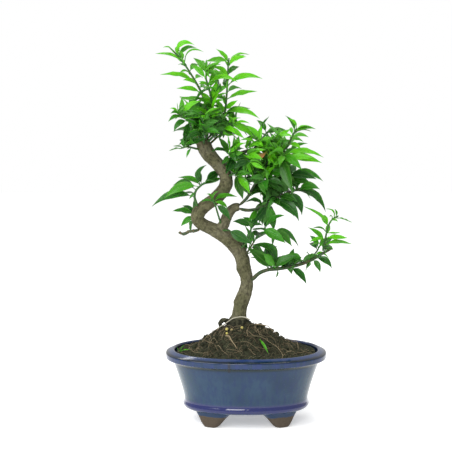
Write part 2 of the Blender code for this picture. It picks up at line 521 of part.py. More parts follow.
def soil_height(x, y):
    """The soil's height under a point, taking the oval as round its long and short half axes."""
    edge = inner_wall(POT_HEIGHT - SOIL_BELOW_RIM)
    share = 0
    for _ in range(12):
        across = (x - MOUND_TOP.x * (1 - share)) / (POT_LENGTH / 2 - edge)
        along = (y - MOUND_TOP.y * (1 - share)) / (POT_DEPTH / 2 - edge)
        share = min(1, math.hypot(across, along))
    return mound(share, math.atan2(along, across))


def make_soil(finish, cutters):
    edge_height = POT_HEIGHT - SOIL_BELOW_RIM
    bottom = FOOT_HEIGHT + FLOOR + GAP
    sides, rings = OVAL_SIDES, 9
    profile = [(inner_wall(bottom) + FLOOR_FILLET + GAP, bottom)]
    profile += [(inner_wall(height) + GAP, height) for height in reversed(INNER_HEIGHTS)]
    profile.append((inner_wall(edge_height) + GAP, edge_height))
    points = [oval_point(2 * math.pi * k / sides, inset, height)
              for inset, height in profile for k in range(sides)]
    edge_inset = inner_wall(edge_height) + GAP
    for ring in range(rings - 1, 0, -1):
        share = ring / rings
        for k in range(sides):
            angle = 2 * math.pi * k / sides
            spot = MOUND_TOP.lerp(oval_point(angle, edge_inset, 0), share)
            points.append(Vector((spot.x, spot.y, mound(share, angle))))
    count = len(profile) + rings - 1
    points.append(MOUND_TOP + Vector((0, 0, mound(0, 0))))
    faces = [tuple(range(sides))[::-1]]
    for ring in range(count - 1):
        for k in range(sides):
            a, b = ring * sides + k, ring * sides + (k + 1) % sides
            faces += [(a, b, b + sides), (a, b + sides, a + sides)]
    last = (count - 1) * sides
    faces += [(last + k, last + (k + 1) % sides, len(points) - 1) for k in range(sides)]
    soil = add_object("soil", points, faces, finish)
    for cutter in cutters:
        combine(soil, cutter, "DIFFERENCE")
    shade_round(soil)
    return soil


# ---- the trunk -------------------------------------------------------------------------------


def woody_form(name, table, sides, spacing, finish=None, wider=0.0, helper=False):
    """A tapering round form along a table of (x, y, z, radius)."""
    line = [Vector((*tree_point(x, y, z), r * MM * TREE_SIZE * TRUNK_GIRTH)) for x, y, z, r in table]
    line = curve_through(line, spacing)
    centres = [p.xyz for p in line]
    radii = [p.w + wider for p in line]
    return add_object(name, *tube(centres, radii, sides), finish, helper)


def make_trunk(finish):
    trunk = woody_form("trunk", TRUNK, 12, 4.5 * MM, finish)
    combine(trunk, woody_form("limb_form", LIMB, 9, 4.5 * MM, helper=True), "UNION")
    for n, root in enumerate(ROOTS):
        combine(trunk, woody_form(f"root_form_{n + 1}", root, 7, 5 * MM, helper=True), "UNION")
    shade_round(trunk, math.radians(60))
    return trunk


def screen_room(name, x):
    """The room that a drainage screen takes in the soil's underside."""
    side, top = SCREEN_SIDE / 2 + GAP, FOOT_HEIGHT + FLOOR + SCREEN_THICKNESS + 2 * GAP
    corners = [(x + a * side, b * side, z) for z in (FOOT_HEIGHT, top)
               for a, b in ((-1, -1), (1, -1), (1, 1), (-1, 1))]
    faces = [(3, 2, 1, 0), (4, 5, 6, 7), (0, 1, 5, 4), (1, 2, 6, 5), (2, 3, 7, 6), (3, 0, 4, 7)]
    return add_object(name, corners, faces, helper=True)


def root_cutters():
    """The trunk's foot and its roots a little wider, to cut their room in the soil."""
    tables = [TRUNK[:5], *ROOTS]
    sides = [12] + [7] * len(ROOTS)
    spacing = [4.5 * MM] + [5 * MM] * len(ROOTS)
    return [woody_form(f"root_cutter_{n + 1}", table, sides[n], spacing[n], wider=2 * GAP, helper=True)
            for n, table in enumerate(tables)]


# ---- shoots and leaves -----------------------------------------------------------------------


class Foliage:
    """All that a new leaf has to stay clear of: a search tree and a box for each piece."""

    def __init__(self):
        self.pieces = []

    def add(self, points, faces):
        self.pieces.append((*box_of(points), BVHTree.FromPolygons(points, faces)))

    def add_object(self, made):
        graph = bpy.context.evaluated_depsgraph_get()
        corners = [made.matrix_world @ Vector(c) for c in made.evaluated_get(graph).bound_box]
        self.pieces.append((*box_of(corners), evaluated_tree(made)))

    def blocks(self, points, faces):
        low, high = box_of(points)
        shape = None
        for other_low, other_high, search in self.pieces:
            if all(low[i] < other_high[i] and high[i] > other_low[i] for i in range(3)):
                shape = shape or BVHTree.FromPolygons(points, faces)
                if shape.overlap(search):
                    return True
        return False


def box_of(points):
    low = Vector([min(p[i] for p in points) for i in range(3)])
    high = Vector([max(p[i] for p in points) for i in range(3)])
    return low, high


class Stem:
    """A four-sided stem with a narrow band of rings at each leaf, so that a leaf can stand on one
    triangle of the band and the shoot stays one closed surface."""

    SIDES = 4

    def __init__(self, parent, path, girth, places):
        self.line = curve_through([tree_point(*p) for p in path], 1.5 * MM)
        self.length = [0.0]
        for a, b in zip(self.line, self.line[1:]):
            self.length.append(self.length[-1] + (b - a).length)
        self.girth = [g * MM * TREE_SIZE for g in girth]
        self.start = self.clear_start(parent)
        self.build(places)

    def at(self, distance):
        distance = min(max(distance, 0), self.length[-1])
        for i in range(1, len(self.line)):
            if self.length[i] >= distance:
                span = self.length[i] - self.length[i - 1]
                return self.line[i - 1].lerp(self.line[i], (distance - self.length[i - 1]) / span)
        return self.line[-1].copy()

    def radius(self, distance):
        share = distance / self.length[-1]
        return self.girth[0] + (self.girth[1] - self.girth[0]) * share

    def clear_start(self, parent):
        """The first distance along the line from which the stem stays clear of its parent."""
        step = 0.25 * MM
        distance = 0.0
        first = None
        while distance < self.length[-1] / 2:
            ends = [distance, distance + 2 * MM]
            shape = tube([self.at(d) for d in ends], [self.radius(d) + GAP for d in ends], self.SIDES)
            if parent.overlap(BVHTree.FromPolygons(*shape)):
                first = None
            elif first is None:
                first = distance
            distance += step
        return first if first is not None else self.length[-1] / 2

    def build(self, places):
        """Rings at both ends and a pair of rings round each place that bears leaves."""
        end = self.length[-1]
        wanted = sorted(self.start + (end - self.start) * share for share in places)
        rings = [self.start]
        self.bands = []
        for place in wanted:
            low = max(place - SEAM, rings[0] + 2 * SEAM)
            if self.bands and low < self.bands[-1][1] + SEAM:
                low = self.bands[-1][1] + SEAM
            if low + 2 * SEAM > end - SEAM:
                break
            if low - rings[-1] > 9 * MM:
                rings.append((rings[-1] + low) / 2)
            rings += [low, low + 2 * SEAM]
            self.bands.append((low, low + 2 * SEAM, len(rings) - 2))
        rings.append(end)
        self.points, self.faces = tube([self.at(d) for d in rings], [self.radius(d) for d in rings],
                                       self.SIDES)
        per_ring = 2 * self.SIDES
        self.free = []
        for low, high, ring in self.bands:
            for face in range(ring * per_ring, (ring + 1) * per_ring):
                self.free.append((face, (low + high) / 2))
        self.free += [(len(self.faces) - 1 - 2 * k, end) for k in range(self.SIDES - 2)]
        self.renew()

    def seats(self, share, tip):
        """The free triangles that can carry a leaf from this share of the stem to the tip, the best first."""
        place = self.start + (self.length[-1] - self.start) * share
        found = []
        for face, distance in self.free:
            a, b, c = (self.points[i] for i in self.faces[face])
            normal = (b - a).cross(c - a).normalized()
            facing = normal.dot((tip - (a + b + c) / 3).normalized())
            if facing > 0.12:
                found.append((abs(distance - place) / (2 * MM) - 1.2 * facing, face))
        return [face for _, face in sorted(found)[:SEATS_TRIED]]

    def grow(self, face, points, faces):
        """Takes in a leaf that stands on this face."""
        first = len(self.points)
        corners = list(self.faces[face]) + [first + k for k in range(len(points) - 3)]
        self.points += points[3:]
        self.faces[face] = None
        self.faces += [tuple(corners[i] for i in f) for f in faces]
        self.free = [f for f in self.free if f[0] != face]
        self.renew()

    def renew(self):
        self.search = BVHTree.FromPolygons(self.points, [f for f in self.faces if f])

    def crosses(self, points, faces):
        """Would this leaf cross the shoot, or itself? Its root is lifted a little off its seat first."""
        lifted = [p.lerp(points[3 + k], 0.003) if k < 3 else p for k, p in enumerate(points)]
        leaf = BVHTree.FromPolygons(lifted, faces)
        if leaf.overlap(self.search):
            return True
        return any(not set(faces[i]) & set(faces[j]) for i, j in leaf.overlap(leaf))


def leaf_frame(base, tip, tilt, arch):
    """The leaf's chord, its upward direction and its face's normal. The normal turns from upwards
    (tilt 0) to the front (tilt 90)."""
    chord = tip - base
    heading = chord.normalized()
    up = Vector((0, 0, 1)) - heading * heading.z
    if up.length < 0.05:
        up = Vector((heading.x or 1, heading.y, 0)) - heading * heading.z
    up.normalize()
    side = heading.cross(up)
    if side.y > 0:
        side = -side
    turn = math.radians(tilt)
    return chord, up * arch, up * math.cos(turn) + side * math.sin(turn)


def leaf_rings(base, tip, tilt, arch, width):
    """Two rings of three points, left edge, keel and right edge, and the leaf's tip."""
    chord, rise, normal = leaf_frame(base, tip, tilt, arch)
    rings = []
    for t, half, keel in ((0.40, 0.5, 1.0), (0.72, 0.24, 0.75)):
        middle = base + chord * t + rise * 4 * t * (1 - t)
        ahead = (chord + rise * 4 * (1 - 2 * t)).normalized()
        face = (normal - ahead * normal.dot(ahead)).normalized()
        across = ahead.cross(face)
        spread = width * half
        edge = face * spread * 0.22
        rings.append([middle + across * spread + edge, middle - face * LEAF_KEEL * keel,
                      middle - across * spread + edge])
    return rings


def leaf_shape(root, tip, tilt, arch, width):
    """Points and triangles of a leaf that stands on the triangle root, without that triangle."""
    base = sum(root, Vector()) / 3
    rings = leaf_rings(base, tip, tilt, arch, width)
    heading = tip - base
    turned = []
    for ring in rings:
        if (ring[1] - ring[0]).cross(ring[2] - ring[0]).dot(heading) < 0:
            ring = ring[::-1]
        turned.append(ring)
    rings = turned
    # start the rings where they twist least against the root
    best = min(range(3), key=lambda s: sum((root[k] - rings[0][(k + s) % 3]).length for k in range(3)))
    rings = [[ring[(k + best) % 3] for k in range(3)] for ring in rings]
    points = [*root, *rings[0], *rings[1], tip]
    faces = []
    for low in (0, 3):
        for k in range(3):
            a, b = low + k, low + (k + 1) % 3
            faces += [(a, b, b + 3), (a, b + 3, a + 3)]
    faces += [(6 + k, 6 + (k + 1) % 3, 9) for k in range(3)]
    return points, faces


def sway(step):
    """Ways for a leaf to turn aside: none, then steps to the back and the front, and up and down."""
    ways = [(0, 0), (4, 0), (-4, 0), (8, 0), (-8, 0), (3, 4), (-3, -4), (12, 0), (-12, 0), (5, -5), (-5, 6),
            (10, 5), (-10, 5), (16, 0), (-16, 0)]
    depth, rise = ways[step]
    return Vector((0, depth, rise)) * MM


SWAYS = 15
SEATS_TRIED = 3


def place_leaf(stem, others, share, tip, tilt, arch):
    """Grows one leaf on the stem where it stays clear of everything, and gives its shape if it can."""
    for step in range(SWAYS):
        end = tip + sway(step)
        for face in stem.seats(share, end):
            root = [stem.points[i] for i in stem.faces[face]]
            length = (end - sum(root, Vector()) / 3).length
            points, faces = leaf_shape(root, end, tilt, arch, min(LEAF_WIDTH * length, WIDEST_LEAF))
            if not others.blocks(points, faces) and not stem.crosses(points, faces):
                stem.grow(face, points, faces)
                return points, faces
    return None


def filling_tips(stem, pairs, turn):
    """Places and tips of pairs of leaves, each pair a quarter turn from the last, as they grow."""
    end = stem.length[-1]
    found = []
    for n in range(pairs):
        share = 1 - (n + 0.25) / (pairs + 0.35)
        distance = stem.start + (end - stem.start) * share
        here = stem.at(distance)
        ahead = (stem.at(distance + 2 * MM) - stem.at(distance - 2 * MM)).normalized()
        out = ahead.orthogonal().normalized()
        out = Matrix.Rotation(turn + n * math.pi / 2, 3, ahead) @ out
        for k, way in enumerate((out, -out)):
            length = LEAF_LENGTH * TREE_SIZE * (0.85 + 0.3 * ((3 * n + 2 * k) % 5) / 4)
            lean = (way + ahead * 0.55 + Vector((0, 0, 0.12))).normalized()
            found.append((share, here + lean * length, 25 + 15 * ((n + k) % 3)))
    return found


def make_shoots(parts, finishes):
    """Every stem first, then their own leaves, then the leaves that fill the crown."""
    foliage = Foliage()
    for made in parts.values():
        foliage.add_object(made)
    stems = {}
    for name, (parent, girth, pairs, path, leaves) in SHOOTS.items():
        search = (evaluated_tree(parts[parent]) if parent in parts
                  else BVHTree.FromPolygons(stems[parent].points, stems[parent].faces))
        places = [leaf[0] for leaf in leaves] + [1 - (n + 0.25) / (pairs + 0.35) for n in range(pairs)]
        stems[name] = Stem(search, path, girth, places)
    others = {}
    for name in stems:
        others[name] = Foliage()
        others[name].pieces += foliage.pieces
        for other, stem in stems.items():
            if other != name:
                others[name].add(stem.points, stem.faces)

    def grow(name, share, tip, tilt, arch):
        shape = place_leaf(stems[name], others[name], share, tip, tilt, arch)
        for other in stems:
            if shape and other != name:
                others[other].add(*shape)
        return bool(shape)

    grown = missed = 0
    for name, (_, _, _, _, leaves) in SHOOTS.items():
        for share, x, y, z, *more in leaves:
            tilt, arch = (*more, *(USUAL_TILT, USUAL_ARCH)[len(more):])
            done = grow(name, share, tree_point(x, y, z), tilt, arch * MM * TREE_SIZE)
            grown += done
            missed += not done
            if not done:
                print("no room for a leaf on", name, "towards", (x, y, z))
    for n, (name, (_, _, pairs, _, _)) in enumerate(SHOOTS.items()):
        for share, tip, tilt in filling_tips(stems[name], pairs, n * 0.7):
            done = grow(name, share, tip, tilt, 2 * MM * TREE_SIZE)
            grown += done
            missed += not done
    print(f"{grown} leaves grown, {missed} had no room")
    for name, stem in stems.items():
        finish = finishes["branch"] if name.endswith("branch") else finishes["leaf"]
        faces = [f for f in stem.faces if f]
        parts[name] = add_object(name, stem.points, faces, finish)


def make_dead_twig(parts, finish):
    stem = Stem(evaluated_tree(parts["trunk"]), DEAD_TWIG, DEAD_TWIG_GIRTH, (0.3, 0.55, 0.8))
    parts["dead_twig"] = add_object("dead_twig", stem.points, stem.faces, finish)


def make_fallen_leaf(name, base_x, base_y, tip_x, tip_y, finish):
    """A leaf lying on the soil, a closed blade on a small triangle of its own."""
    clear = 2 * MM
    base = Vector((base_x * MM, base_y * MM, soil_height(base_x * MM, base_y * MM) + clear))
    tip = Vector((tip_x * MM, tip_y * MM, soil_height(tip_x * MM, tip_y * MM) + clear))
    heading = (tip - base).normalized()
    side = heading.cross(Vector((0, 0, 1))).normalized()
    root = [base + side * 0.4 * MM, base - side * 0.4 * MM, base - Vector((0, 0, 0.5 * MM))]
    if (root[1] - root[0]).cross(root[2] - root[0]).dot(heading) < 0:
        root.reverse()
    points, faces = leaf_shape(root, tip, 20, 0.4 * MM, LEAF_WIDTH * (tip - base).length)
    return add_object(name, points, [*faces, (2, 1, 0)], finish)


def make_pellet(name, x, y, radius, finish):
    """A fertiliser pellet resting on the soil."""
    form = bmesh.new()
    bmesh.ops.create_icosphere(form, subdivisions=1, radius=radius * MM)
    mesh = bpy.data.meshes.new(name)
    form.to_mesh(mesh)
    form.free()
    mesh.materials.append(finish)
    made = bpy.data.objects.new(name, mesh)
    bpy.context.scene.collection.objects.link(made)
    made.location = (x * MM, y * MM, soil_height(x * MM, y * MM) + PELLET_LIFT * radius * MM + GAP)
    shade_round(made, math.pi)
    return made


# ---- assembly --------------------------------------------------------------------------------


def main():
    for old in list(bpy.data.objects):
        bpy.data.objects.remove(old)
    finishes = {
        "glaze": material("blue_glaze", (0.05, 0.11, 0.27), 0.18),
        "soil": material("peat_soil", (0.05, 0.035, 0.02), 0.95),
        "bark": material("bark", (0.14, 0.11, 0.07), 0.85),
        "branch": material("green_bark", (0.05, 0.09, 0.03), 0.7),
        "leaf": material("leaf", (0.07, 0.24, 0.03), 0.4),
        "screen": material("black_plastic", (0.02, 0.02, 0.02), 0.5),
        "pellet": material("fertiliser", (0.45, 0.35, 0.15), 0.9),
    }
    parts = {"pot": make_pot(finishes["glaze"])}
    for name, side in (("drain_screen_left", -1), ("drain_screen_right", 1)):
        parts[name] = make_screen(name, side * DRAIN_SPACING / 2, finishes["screen"])
    parts["trunk"] = make_trunk(finishes["bark"])
    rooms = [screen_room(f"screen_room_{n + 1}", side * DRAIN_SPACING / 2) for n, side in enumerate((-1, 1))]
    parts["soil"] = make_soil(finishes["soil"], root_cutters() + rooms)
    bpy.context.view_layer.update()
    make_dead_twig(parts, finishes["branch"])
    make_shoots(parts, finishes)
    for name, place in FALLEN_LEAVES.items():
        parts[name] = make_fallen_leaf(name, *place, finishes["leaf"])
    for name, place in PELLETS.items():
        parts[name] = make_pellet(name, *place, finishes["pellet"])
    centre_on_base(parts)


def centre_on_base(parts):
    """Parents every piece to an empty that puts the origin at the bottom centre of the box."""
    bpy.context.view_layer.update()
    graph = bpy.context.evaluated_depsgraph_get()
    corners = [made.matrix_world @ Vector(c)
               for made in parts.values() for c in made.evaluated_get(graph).bound_box]
    low, high = box_of(corners)
    holder = bpy.data.objects.new("bonsai_in_pot", None)
    bpy.context.scene.collection.objects.link(holder)
    for made in list(bpy.context.scene.objects):
        if made is not holder:
            made.parent = holder
    holder.location = (-(low.x + high.x) / 2, -(low.y + high.y) / 2, -low.z)


main()
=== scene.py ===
"""Looks of the bonsai in its oval glazed pot: glaze, soil, bark, stems and leaves.

Metres, +Z up. Tables of points are in millimetres from the middle of the pot's feet.
"""

import bmesh
import bpy
import numpy as np
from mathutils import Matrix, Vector


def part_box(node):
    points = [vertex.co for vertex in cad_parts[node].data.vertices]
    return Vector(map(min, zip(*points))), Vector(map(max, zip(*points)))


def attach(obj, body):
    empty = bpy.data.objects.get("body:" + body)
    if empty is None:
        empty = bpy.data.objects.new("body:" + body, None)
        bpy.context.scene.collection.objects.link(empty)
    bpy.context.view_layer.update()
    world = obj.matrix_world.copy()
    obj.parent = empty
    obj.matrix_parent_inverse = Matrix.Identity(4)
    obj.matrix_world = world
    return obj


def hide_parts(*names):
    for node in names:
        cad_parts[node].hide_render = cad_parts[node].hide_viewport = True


MM = 0.001
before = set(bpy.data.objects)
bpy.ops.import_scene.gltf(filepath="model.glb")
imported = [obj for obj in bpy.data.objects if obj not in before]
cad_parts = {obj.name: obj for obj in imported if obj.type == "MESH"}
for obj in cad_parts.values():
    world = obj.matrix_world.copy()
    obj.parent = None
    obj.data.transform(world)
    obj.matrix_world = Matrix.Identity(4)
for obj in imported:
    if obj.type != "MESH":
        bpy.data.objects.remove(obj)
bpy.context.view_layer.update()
pot_low, pot_high = (np.array(corner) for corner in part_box("pot"))
POT_MIDDLE = np.array([*(pot_low + pot_high)[:2] / 2, 0])

# ---- driving sizes of the pot and the mound, in metres, taken from the frame where it shows them

POT_HALF = (pot_high - pot_low)[:2] / 2
RIM_TOP = pot_high[2]
OVAL_POWER = 2.25
RIM_WIDTH = 8.5 * MM
RIM_FALL = 3 * MM
LIP_HEIGHT = 5.5 * MM
WAIST_INSET = 17 * MM
LIP_INSET = 5.5 * MM
WALL_BEND = 1.2
WALL = 5 * MM
FLOOR = 5 * MM
FOOT_HEIGHT = 13.5 * MM
FOOT_ROLL = 4.5 * MM
FOOT_SPREAD, FOOT_ANGLE = 0.385, 0.93
FOOT_DEPTH = 13 * MM
DRAIN_RADIUS, DRAIN_SPACING = 6 * MM, 56 * MM
WAVER = 0.22               # in millimetres, each way
SOIL_EDGE = RIM_TOP - 3.5 * MM
SOIL_RISE = 1.2 * MM
MOUND_HEIGHT = 27 * MM
MOUND_TOP = np.array([-5 * MM, 0])
GAP = 0.3 * MM

# ---- noise ---------------------------------------------------------------------------------------


def cell_number(cell, seed):
    """A repeatable number from 0 to 1 for a whole-numbered cell: the fraction of a large sine of its mixed
    sum."""
    mix = cell @ np.array([12.9898, 78.233, 37.719]) + seed * 17.13
    return np.modf(np.abs(np.sin(mix)) * 43758.5453)[0]


def soft_noise(points, size, seed=0):
    """Noise from -1 to 1: the numbers of a cell's eight corners, blended by 3t^2 - 2t^3 along each axis."""
    place = points / size
    cell = np.floor(place)
    t = place - cell
    t = t * t * (3 - 2 * t)
    total = 0
    for corner in np.ndindex(2, 2, 2):
        weight = np.prod(np.where(corner, t, 1 - t), axis=-1)
        total = total + weight * cell_number(cell + corner, seed)
    return 2 * total - 1


def rough_noise(points, size, octaves=4, seed=0):
    """The sum of soft noises, each half the size and half the height of the last."""
    return sum(soft_noise(points, size / 2 ** k, seed + k) / 2 ** k for k in range(octaves))


# ---- meshes --------------------------------------------------------------------------------------


def unit(vectors):
    """The same ways, each of length 1."""
    return vectors / np.maximum(np.linalg.norm(vectors, axis=-1, keepdims=True), 1e-12)


def grid_faces(rows, columns, open_columns=False):
    """Quads between neighbouring rows of a grid of points; the columns close round unless they are open."""
    a = np.arange(rows - 1)[:, None] * columns
    j = np.arange(columns - open_columns)[None]
    k = (j + 1) % columns
    return np.stack([a + j, a + k, a + k + columns, a + j + columns], -1).reshape(-1, 4)


def raised(xy, z):
    """Points at heights z over the places xy."""
    return np.concatenate([xy, z[..., None]], -1)


def many_grids(shapes):
    """One set of points and faces from shapes of (count, rows, columns, 3)."""
    count, rows, columns = shapes.shape[:3]
    one = grid_faces(rows, columns)
    starts = np.arange(count)[:, None, None] * rows * columns
    return shapes.reshape(-1, 3), (one[None] + starts).reshape(-1, one.shape[1])


def new_mesh(name, points, faces, merge=None):
    """A mesh from arrays. With merge, points that close are made one, which closes seams and poles."""
    mesh = bpy.data.meshes.new(name)
    mesh.vertices.add(len(points))
    mesh.vertices.foreach_set("co", np.asarray(points, np.float32).ravel())
    mesh.loops.add(faces.size)
    mesh.loops.foreach_set("vertex_index", np.asarray(faces, np.int32).ravel())
    mesh.polygons.add(len(faces))
    mesh.polygons.foreach_set("loop_start", np.arange(0, faces.size, faces.shape[1], dtype=np.int32))
    mesh.update(calc_edges=True)
    if merge:
        form = bmesh.new()
        form.from_mesh(mesh)
        bmesh.ops.remove_doubles(form, verts=form.verts[:], dist=merge)
        form.to_mesh(mesh)
        form.free()
    mesh.validate()
    return mesh


def placed(name, data):
    """A new object of the scene that shows this data."""
    made = bpy.data.objects.new(name, data)
    bpy.context.scene.collection.objects.link(made)
    return made


def add_piece(name, mesh, finish, slot, *stands_for):
    """Shows a mesh as a piece of the object, in place of the named CAD nodes."""
    mesh.name = name
    mesh.materials.clear()
    mesh.materials.append(finish)
    mesh.shade_smooth()
    made = placed(name, mesh)
    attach(made, "root")
    if stands_for:
        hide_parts(*stands_for)
    return made


def give_values(mesh, name, values):
    """A number for each point, which the material reads."""
    mesh.attributes.new(name, "FLOAT", "POINT").data.foreach_set("value", np.asarray(values, np.float32))


def vectors_of(rows, kind):
    """The vectors of a mesh's rows, as an array."""
    found = np.empty(len(rows) * 3, np.float32)
    rows.foreach_get(kind, found)
    return found.reshape(-1, 3).astype(float)


def mesh_points(mesh):
    """The place of each point."""
    return vectors_of(mesh.vertices, "co")


def mesh_normals(mesh):
    """The way out of the surface at each point."""
    return vectors_of(mesh.vertex_normals, "vector")


def move_points(mesh, points):
    """Puts the mesh's points at new places."""
    mesh.vertices.foreach_set("co", points.astype(np.float32).ravel())
    mesh.update()


def finished(mesh, *steps):
    """The mesh after modifiers, each given as (type, {setting: value})."""
    form = placed("form", mesh)
    for kind, settings in steps:
        step = form.modifiers.new(kind, kind)
        for setting, value in settings.items():
            setattr(step, setting, value)
    graph = bpy.context.evaluated_depsgraph_get()
    made = bpy.data.meshes.new_from_object(form.evaluated_get(graph))
    bpy.data.objects.remove(form)
    return made


def through(points, spacing):
    """Points about this far apart on a Catmull-Rom curve through the given rows, whatever their width."""
    points = np.asarray(points, float)
    ends = np.vstack([2 * points[0] - points[1], points, 2 * points[-1] - points[-2]])
    spans = []
    for p0, p1, p2, p3 in zip(ends, ends[1:], ends[2:], ends[3:]):
        t = np.linspace(0, 1, max(2, round(np.linalg.norm((p2 - p1)[:3]) / spacing) + 1))[:-1, None]
        spans.append(0.5 * (2 * p1 + (p2 - p0) * t + (2 * p0 - 5 * p1 + 4 * p2 - p3) * t * t
                            + (3 * p1 - p0 - 3 * p2 + p3) * t ** 3))
    return np.vstack([*spans, points[-1:]])


def tube_shapes(lines, radii, sides):
    """Rings of points round many lines at once, (count, steps, 3) with radii (count, steps): across each line
    lie two directions, the first level with the ground where it can be. The ends close in a point."""
    ahead = unit(np.gradient(lines, axis=1))
    level = unit(np.cross(ahead, [0.05, 0.03, 1.0]))
    other = np.cross(level, ahead)
    turn = 2 * np.pi * np.arange(sides) / sides
    ring = (level[:, :, None] * np.cos(turn)[:, None] + other[:, :, None] * np.sin(turn)[:, None])
    shapes = lines[:, :, None] + ring * radii[:, :, None, None]
    first, last = np.repeat(lines[:, :1, None], sides, 2), np.repeat(lines[:, -1:, None], sides, 2)
    return np.concatenate([first, shapes, last], 1)[:, :, ::-1]


# ---- shader maths --------------------------------------------------------------------------------


class Value:
    """A number from a socket. Sums on it add Math nodes to its material."""

    def __init__(self, paint, socket):
        self.paint, self.socket = paint, socket

    def maths(self, operation, *others):
        """This number and others through one Math node."""
        return self.paint.node("ShaderNodeMath", {"operation": operation}, self, *others)

    def __add__(self, other):
        return self.maths("ADD", other)

    def __sub__(self, other):
        return self.maths("SUBTRACT", other)

    def __mul__(self, other):
        return self.maths("MULTIPLY", other)

    def __rsub__(self, other):
        return self.paint.node("ShaderNodeMath", {"operation": "SUBTRACT"}, other, self)

    __radd__, __rmul__ = __add__, __mul__

    def between(self, low, high):
        """0 below low, 1 above high, smooth between; high below low turns it round."""
        kind = {"interpolation_type": "SMOOTHSTEP"}
        return self.paint.node("ShaderNodeMapRange", kind, self, low, high, 0.0, 1.0)

    def band(self, middle, half):
        """1 in the middle of a band, falling smoothly to 0 at half its width away."""
        return (self - middle).maths("ABSOLUTE").between(half, 0)


class Paint:
    """One material: its nodes, and the finish that they lead to."""

    def __init__(self, name, **constants):
        self.material = bpy.data.materials.new(name)
        self.material.use_nodes = True
        self.nodes, self.links = self.material.node_tree.nodes, self.material.node_tree.links
        self.shader = self.nodes["Principled BSDF"]
        for socket, value in constants.items():
            self.shader.inputs[socket.replace("_", " ")].default_value = value
        self.place = self.node("ShaderNodeTexCoord", {}, out="Object")

    def node(self, kind, settings, *values, out=0, **named):
        """Any node: its settings first, then its sockets by place or by name, then one output as a Value."""
        made = self.nodes.new(kind)
        for setting, value in settings.items():
            setattr(made, setting, value)
        for key, value in [*enumerate(values), *((k.replace("_", " "), v) for k, v in named.items())]:
            if isinstance(value, Value):
                self.links.new(value.socket, made.inputs[key])
            else:
                made.inputs[key].default_value = value
        return Value(self, made.outputs[out])

    def noise(self, scale, detail=3.0, place=None, roughness=0.55):
        """Smooth noise from about 0 to 1, with this many cells to the metre."""
        return self.node("ShaderNodeTexNoise", {}, Vector=place or self.place, Scale=scale, Detail=detail,
                         Roughness=roughness)

    def stretched(self, x, y, z):
        """The place, with each axis scaled."""
        return self.node("ShaderNodeMapping", {}, Vector=self.place, Scale=(x, y, z))

    def height(self):
        """The height above the ground in millimetres."""
        return self.axis(2) * 1000

    def axis(self, number, place=None):
        """One of a place's three coordinates."""
        return self.node("ShaderNodeSeparateXYZ", {}, place or self.place, out=number)

    def value(self, name):
        """The number that each point of the mesh carries under this name."""
        return self.node("ShaderNodeAttribute", {"attribute_name": name}, out="Fac")

    def mix(self, share, first, second):
        """A colour between two, by share."""
        made = self.nodes.new("ShaderNodeMix")
        made.data_type = "RGBA"
        for socket, value in (("Factor_Float", share), ("A_Color", first), ("B_Color", second)):
            place = next(s for s in made.inputs if s.identifier == socket)
            if isinstance(value, Value):
                self.links.new(value.socket, place)
            else:
                place.default_value = (*value, 1) if isinstance(value, tuple) else value
        return Value(self, next(s for s in made.outputs if s.identifier == "Result_Color"))

    def layered(self, colour, *layers):
        """A colour with others laid over it in turn, each given as (share, colour)."""
        for share, over in layers:
            colour = self.mix(share, colour, over)
        return colour

    def bump(self, height, depth):
        """Relief of this many metres from a height of 0 to 1."""
        normal = self.node("ShaderNodeBump", {}, Strength=1.0, Distance=depth, Height=height)
        self.links.new(normal.socket, self.shader.inputs["Normal"])

    def give(self, **sockets):
        """Leads values to the finish's sockets, and gives the finished material."""
        for socket, value in sockets.items():
            self.links.new(value.socket, self.shader.inputs[socket.replace("_", " ")])
        return self.material


